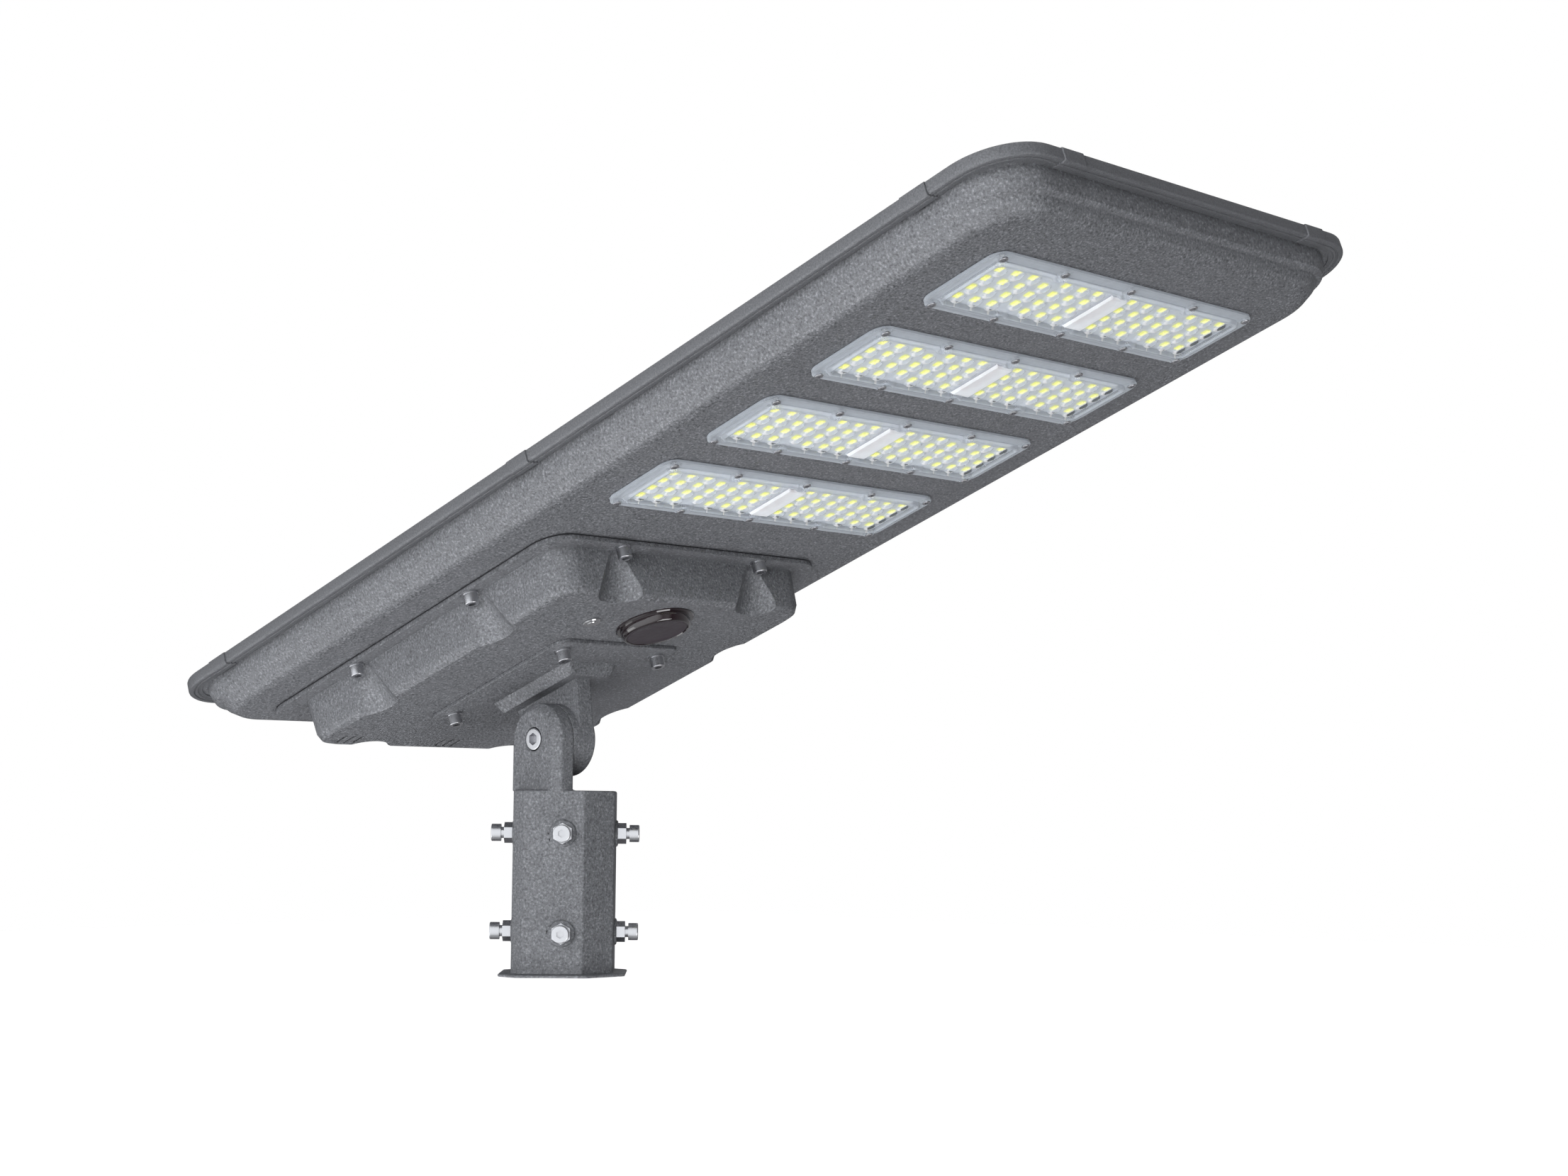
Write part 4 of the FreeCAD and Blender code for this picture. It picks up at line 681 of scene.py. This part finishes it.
def clusterCentres(name):                        # middles of a node's separate solids, with the head level
    work = bmesh.new()
    work.from_mesh(nodes[name].data)
    bmesh.ops.remove_doubles(work, verts=work.verts, dist=weldGap)
    left = set(work.verts)
    centres = []
    while left:
        stack, group = [left.pop()], []
        while stack:
            vertex = stack.pop()
            group.append(headFrameBack @ vertex.co)
            for edge in vertex.link_edges:
                other = edge.other_vert(vertex)
                if other in left:
                    left.discard(other)
                    stack.append(other)
        low, high = corners(group)
        centres.append((low + high) / 2)
    work.free()
    return centres


def ease(value, start, end):                     # 0 before start, 1 after end, smooth between
    t = np.clip((value - start) / (end - start), 0, 1)
    return t * t * (3 - 2 * t)


def lensGrid(halfU, halfV):                      # a grid squeezed into the rounded plate, and each point's inset
    s = lensShape
    countU, countV = int(round(2 * halfU / s["step"])), int(round(2 * halfV / s["step"]))
    u = np.linspace(-halfU, halfU, countU + 1)
    v = np.linspace(-halfV, halfV, countV + 1)
    gridU, gridV = np.meshgrid(u, v, indexing="ij")
    coreU, coreV = halfU - s["corner"], halfV - s["corner"]
    overU, overV = np.maximum(np.abs(gridU) - coreU, 0), np.maximum(np.abs(gridV) - coreV, 0)
    reach = np.hypot(overU, overV)
    squeeze = np.where(reach > s["corner"], s["corner"] / np.maximum(reach, 1e-6), 1.0)
    gridU = np.sign(gridU) * (np.minimum(np.abs(gridU), coreU) + overU * squeeze)
    gridV = np.sign(gridV) * (np.minimum(np.abs(gridV), coreV) + overV * squeeze)
    overU, overV = np.maximum(np.abs(gridU) - coreU, 0), np.maximum(np.abs(gridV) - coreV, 0)
    inset = np.where((overU > 0) | (overV > 0), s["corner"] - np.hypot(overU, overV),
                     np.minimum(halfU - np.abs(gridU), halfV - np.abs(gridV)))
    return gridU, gridV, inset


def lensRelief(gridU, gridV, inset, chips, screws):        # height over the flange, and the kind of each point
    s, kinds = lensShape, lensKinds
    toScrew = np.full(gridU.shape, np.inf)
    for a, b in screws:
        toScrew = np.minimum(toScrew, np.hypot(gridU - a, gridV - b))
    reachIn = np.minimum(inset - s["ridgeIn"], toScrew - s["screwRoom"])
    ridgeEnd = s["ridgeWide"] + s["fieldSlope"]
    up = s["ridgeUp"] * ease(reachIn, 0, s["ridgeSlope"])
    up -= (s["ridgeUp"] - s["fieldUp"]) * ease(reachIn, s["ridgeWide"], ridgeEnd)
    up -= s["edgeDrop"] * (1 - ease(inset, 0.0, s["edgeRound"]))
    up += s["lipUp"] * ease(inset, *s["lipIn"]) * (1 - ease(inset, *s["lipOut"]))
    up += s["bossUp"] * (1 - ease(toScrew, s["bossRadius"] - s["bossSlope"], s["bossRadius"]))

    kind = np.full(gridU.shape, kinds["plate"])
    domes = np.zeros(gridU.shape)
    axisU, axisV = s["domeAxis"]
    for a, b in chips:
        along = (gridU - a) * axisU + (gridV - b) * axisV + s["domeShift"]
        across = (gridV - b) * axisU - (gridU - a) * axisV
        taper = 1.0 - s["domeTaper"] * np.clip(-along / s["domeLong"], -0.2, 1)
        r = np.hypot(along / s["domeLong"], across / (s["domeWide"] * taper))
        lean = 1 - s["domeLean"] + s["domeLean"] * np.clip(along / s["domeLong"], -1, 1)
        domes = np.maximum(domes, s["domeUp"] * np.sqrt(np.clip(1 - r * r, 0, 1)) * lean)
        kind = np.where(r < s["domeEdge"], kinds["dome"], kind)
        toWindow = np.hypot(gridU - a - s["windowShift"], gridV - b)
        kind = np.where(toWindow < s["window"], kinds["window"], kind)
    softU, softV = s["bridgeSoft"]
    bridge = 1 - ease(np.abs(gridU), s["bridgeWide"] - softU, s["bridgeWide"])
    bridge = bridge * (1 - ease(np.abs(gridV), s["bridgeLong"] - softV, s["bridgeLong"]))
    up = np.maximum(up + domes * (reachIn > s["ridgeWide"]), bridge * s["bridgeUp"])
    kind = np.where((bridge > s["bridgeEdge"]) & (kind == kinds["plate"]), kinds["bridge"], kind)
    return up, kind


def makeLens(index, screws):
    name = "lensPlate%d" % index
    low, high = headBox("led_lens_%d" % index)
    middle = (low + high) / 2
    halfU, halfV = (high.x - low.x) / 2 / mm, (high.y - low.y) / 2 / mm
    flangeLow = high.z - lensShape["flange"] * mm

    def onPlate(places):
        return [((c.x - middle.x) / mm, (c.y - middle.y) / mm) for c in places]

    chips = onPlate(clusterCentres("led_chips_%d" % index))
    near = onPlate(c for c in screws if abs(c.y - middle.y) < halfV * mm)
    gridU, gridV, inset = lensGrid(halfU, halfV)
    up, kind = lensRelief(gridU, gridV, inset, chips, near)

    rows, cols = gridU.shape
    points = [(middle.x + gridU[i, j] * mm, middle.y + gridV[i, j] * mm, flangeLow - up[i, j] * mm)
              for i in range(rows) for j in range(cols)]
    faces, kinds = [], []
    for i in range(rows - 1):
        for j in range(cols - 1):
            faces.append((i * cols + j, (i + 1) * cols + j, (i + 1) * cols + j + 1, i * cols + j + 1))
            kinds.append(int(kind[i:i + 2, j:j + 2].min()))
    border = [(i, 0) for i in range(rows)] + [(rows - 1, j) for j in range(1, cols)]
    border += [(i, cols - 1) for i in range(rows - 2, -1, -1)] + [(0, j) for j in range(cols - 2, 0, -1)]
    first = len(points)
    for i, j in border:
        points.append((middle.x + gridU[i, j] * mm, middle.y + gridV[i, j] * mm, high.z))
    for k, (i, j) in enumerate(border):
        after = (k + 1) % len(border)
        faces.append((i * cols + j, border[after][0] * cols + border[after][1], first + after, first + k))
        kinds.append(lensKinds["plate"])
    mesh = bpy.data.meshes.new(name)
    mesh.from_pydata(points, [], faces)
    mesh.transform(headFrame)
    mesh.update()
    mesh.polygons.foreach_set("material_index", kinds)
    looks = [clearPlate, clearDome, clearWindow, frosted]
    addPiece(name, mesh, looks, "head", ("led_lens_%d" % index,), smooth=60)
    return middle


# millimetres; bow is the middle's rise, sway and waves bend the wires sideways
wireShape = {"radius": 0.9, "apart": 2.4, "half": 16.0, "bow": 1.6, "sway": 0.5, "waves": 5, "steps": 24, "ring": 8}


def makeWires(index, middle, boardLow):          # the pair that joins the two halves of each light board
    s = wireShape
    steps, ring = s["steps"], s["ring"]
    points, faces = [], []
    for side in (-1, 1):
        first = len(points)
        for k in range(steps + 1):
            t = k / steps * 2 - 1
            along = t * s["half"]
            across = side * s["apart"] / 2 + math.sin(t * s["waves"] + side) * s["sway"]
            lift = s["radius"] + s["bow"] * (1 - t * t)
            for j in range(ring):
                a = 2 * math.pi * j / ring
                points.append((middle.x + (across + s["radius"] * math.cos(a)) * mm, middle.y + along * mm,
                               boardLow - (lift + s["radius"] * math.sin(a)) * mm))
        for k in range(steps):
            for j in range(ring):
                a, b = first + k * ring + j, first + k * ring + (j + 1) % ring
                faces.append((a, b, b + ring, a + ring))
        faces.append(tuple(first + j for j in range(ring)))
        faces.append(tuple(first + steps * ring + j for j in range(ring)))
    name = "boardWires%d" % index
    addPiece(name, meshFrom(name, points, faces, headFrame), wireRed, "head")


def makeLightModules():
    screws = clusterCentres("lens_screws")
    for index in range(1, 5):
        middle = makeLens(index, screws)
        makeWires(index, middle, headBox("led_board_%d" % index)[0].z)
        print("  light module", index)


# millimetres; the ring's outline is (inset, share of its height), the face's is (inset, rise over the sink)
sensorShape = {
    "ringRadius": 25.5, "faceRadius": 22.4, "faceSink": 0.8, "steps": 96, "smooth": 30,
    "ring": [(0, 0), (0.1, 0.30), (0.5, 0.62), (1.1, 0.85), (1.9, 0.97), (2.6, 1.0)],
    "face": [(0.5, -1), (0.5, 0.1), (1.2, 0.5), (2.2, 0.55), (2.8, 0.35)], "faceInner": 0.5, "faceMiddle": 0.55,
}


def makeSensor():
    s = sensorShape
    low, high = headBox("sensor_dome")
    middle = (low + high) / 2
    place = headFrame @ Matrix.Translation((middle.x, middle.y, high.z)) @ Matrix.Scale(-1, 4, (0, 0, 1))
    outer, inner, tall = s["ringRadius"] * mm, s["faceRadius"] * mm, high.z - low.z
    half, sink = inner * 0.5, tall - s["faceSink"] * mm
    ring = [(half, 0)] + [(outer - inset * mm, tall * share) for inset, share in s["ring"]]
    ring += [(inner, tall), (inner - 0.4 * mm, sink), (half, sink), (half, 0)]
    face = [(0, sink - 1 * mm)] + [(inner - inset * mm, sink + rise * mm) for inset, rise in s["face"]]
    face += [(half, sink + s["faceInner"] * mm), (0, sink + s["faceMiddle"] * mm)]
    ringMesh = latheMesh("sensorRing", ring, place, s["steps"])
    addPiece("sensorRing", ringMesh, sensorGloss, "head", replaced=("sensor_dome",), smooth=s["smooth"])
    faceMesh = latheMesh("sensorFace", face, place, s["steps"])
    addPiece("sensorFace", faceMesh, sensorMatt, "head", smooth=s["smooth"])
    print("sensor")


makeCamera()
makeLights()
makeWorld()
makeFloor()
dressNodes()
makeCastings()
makeRim()
makeLightModules()
makeSensor()
print("pieces made")
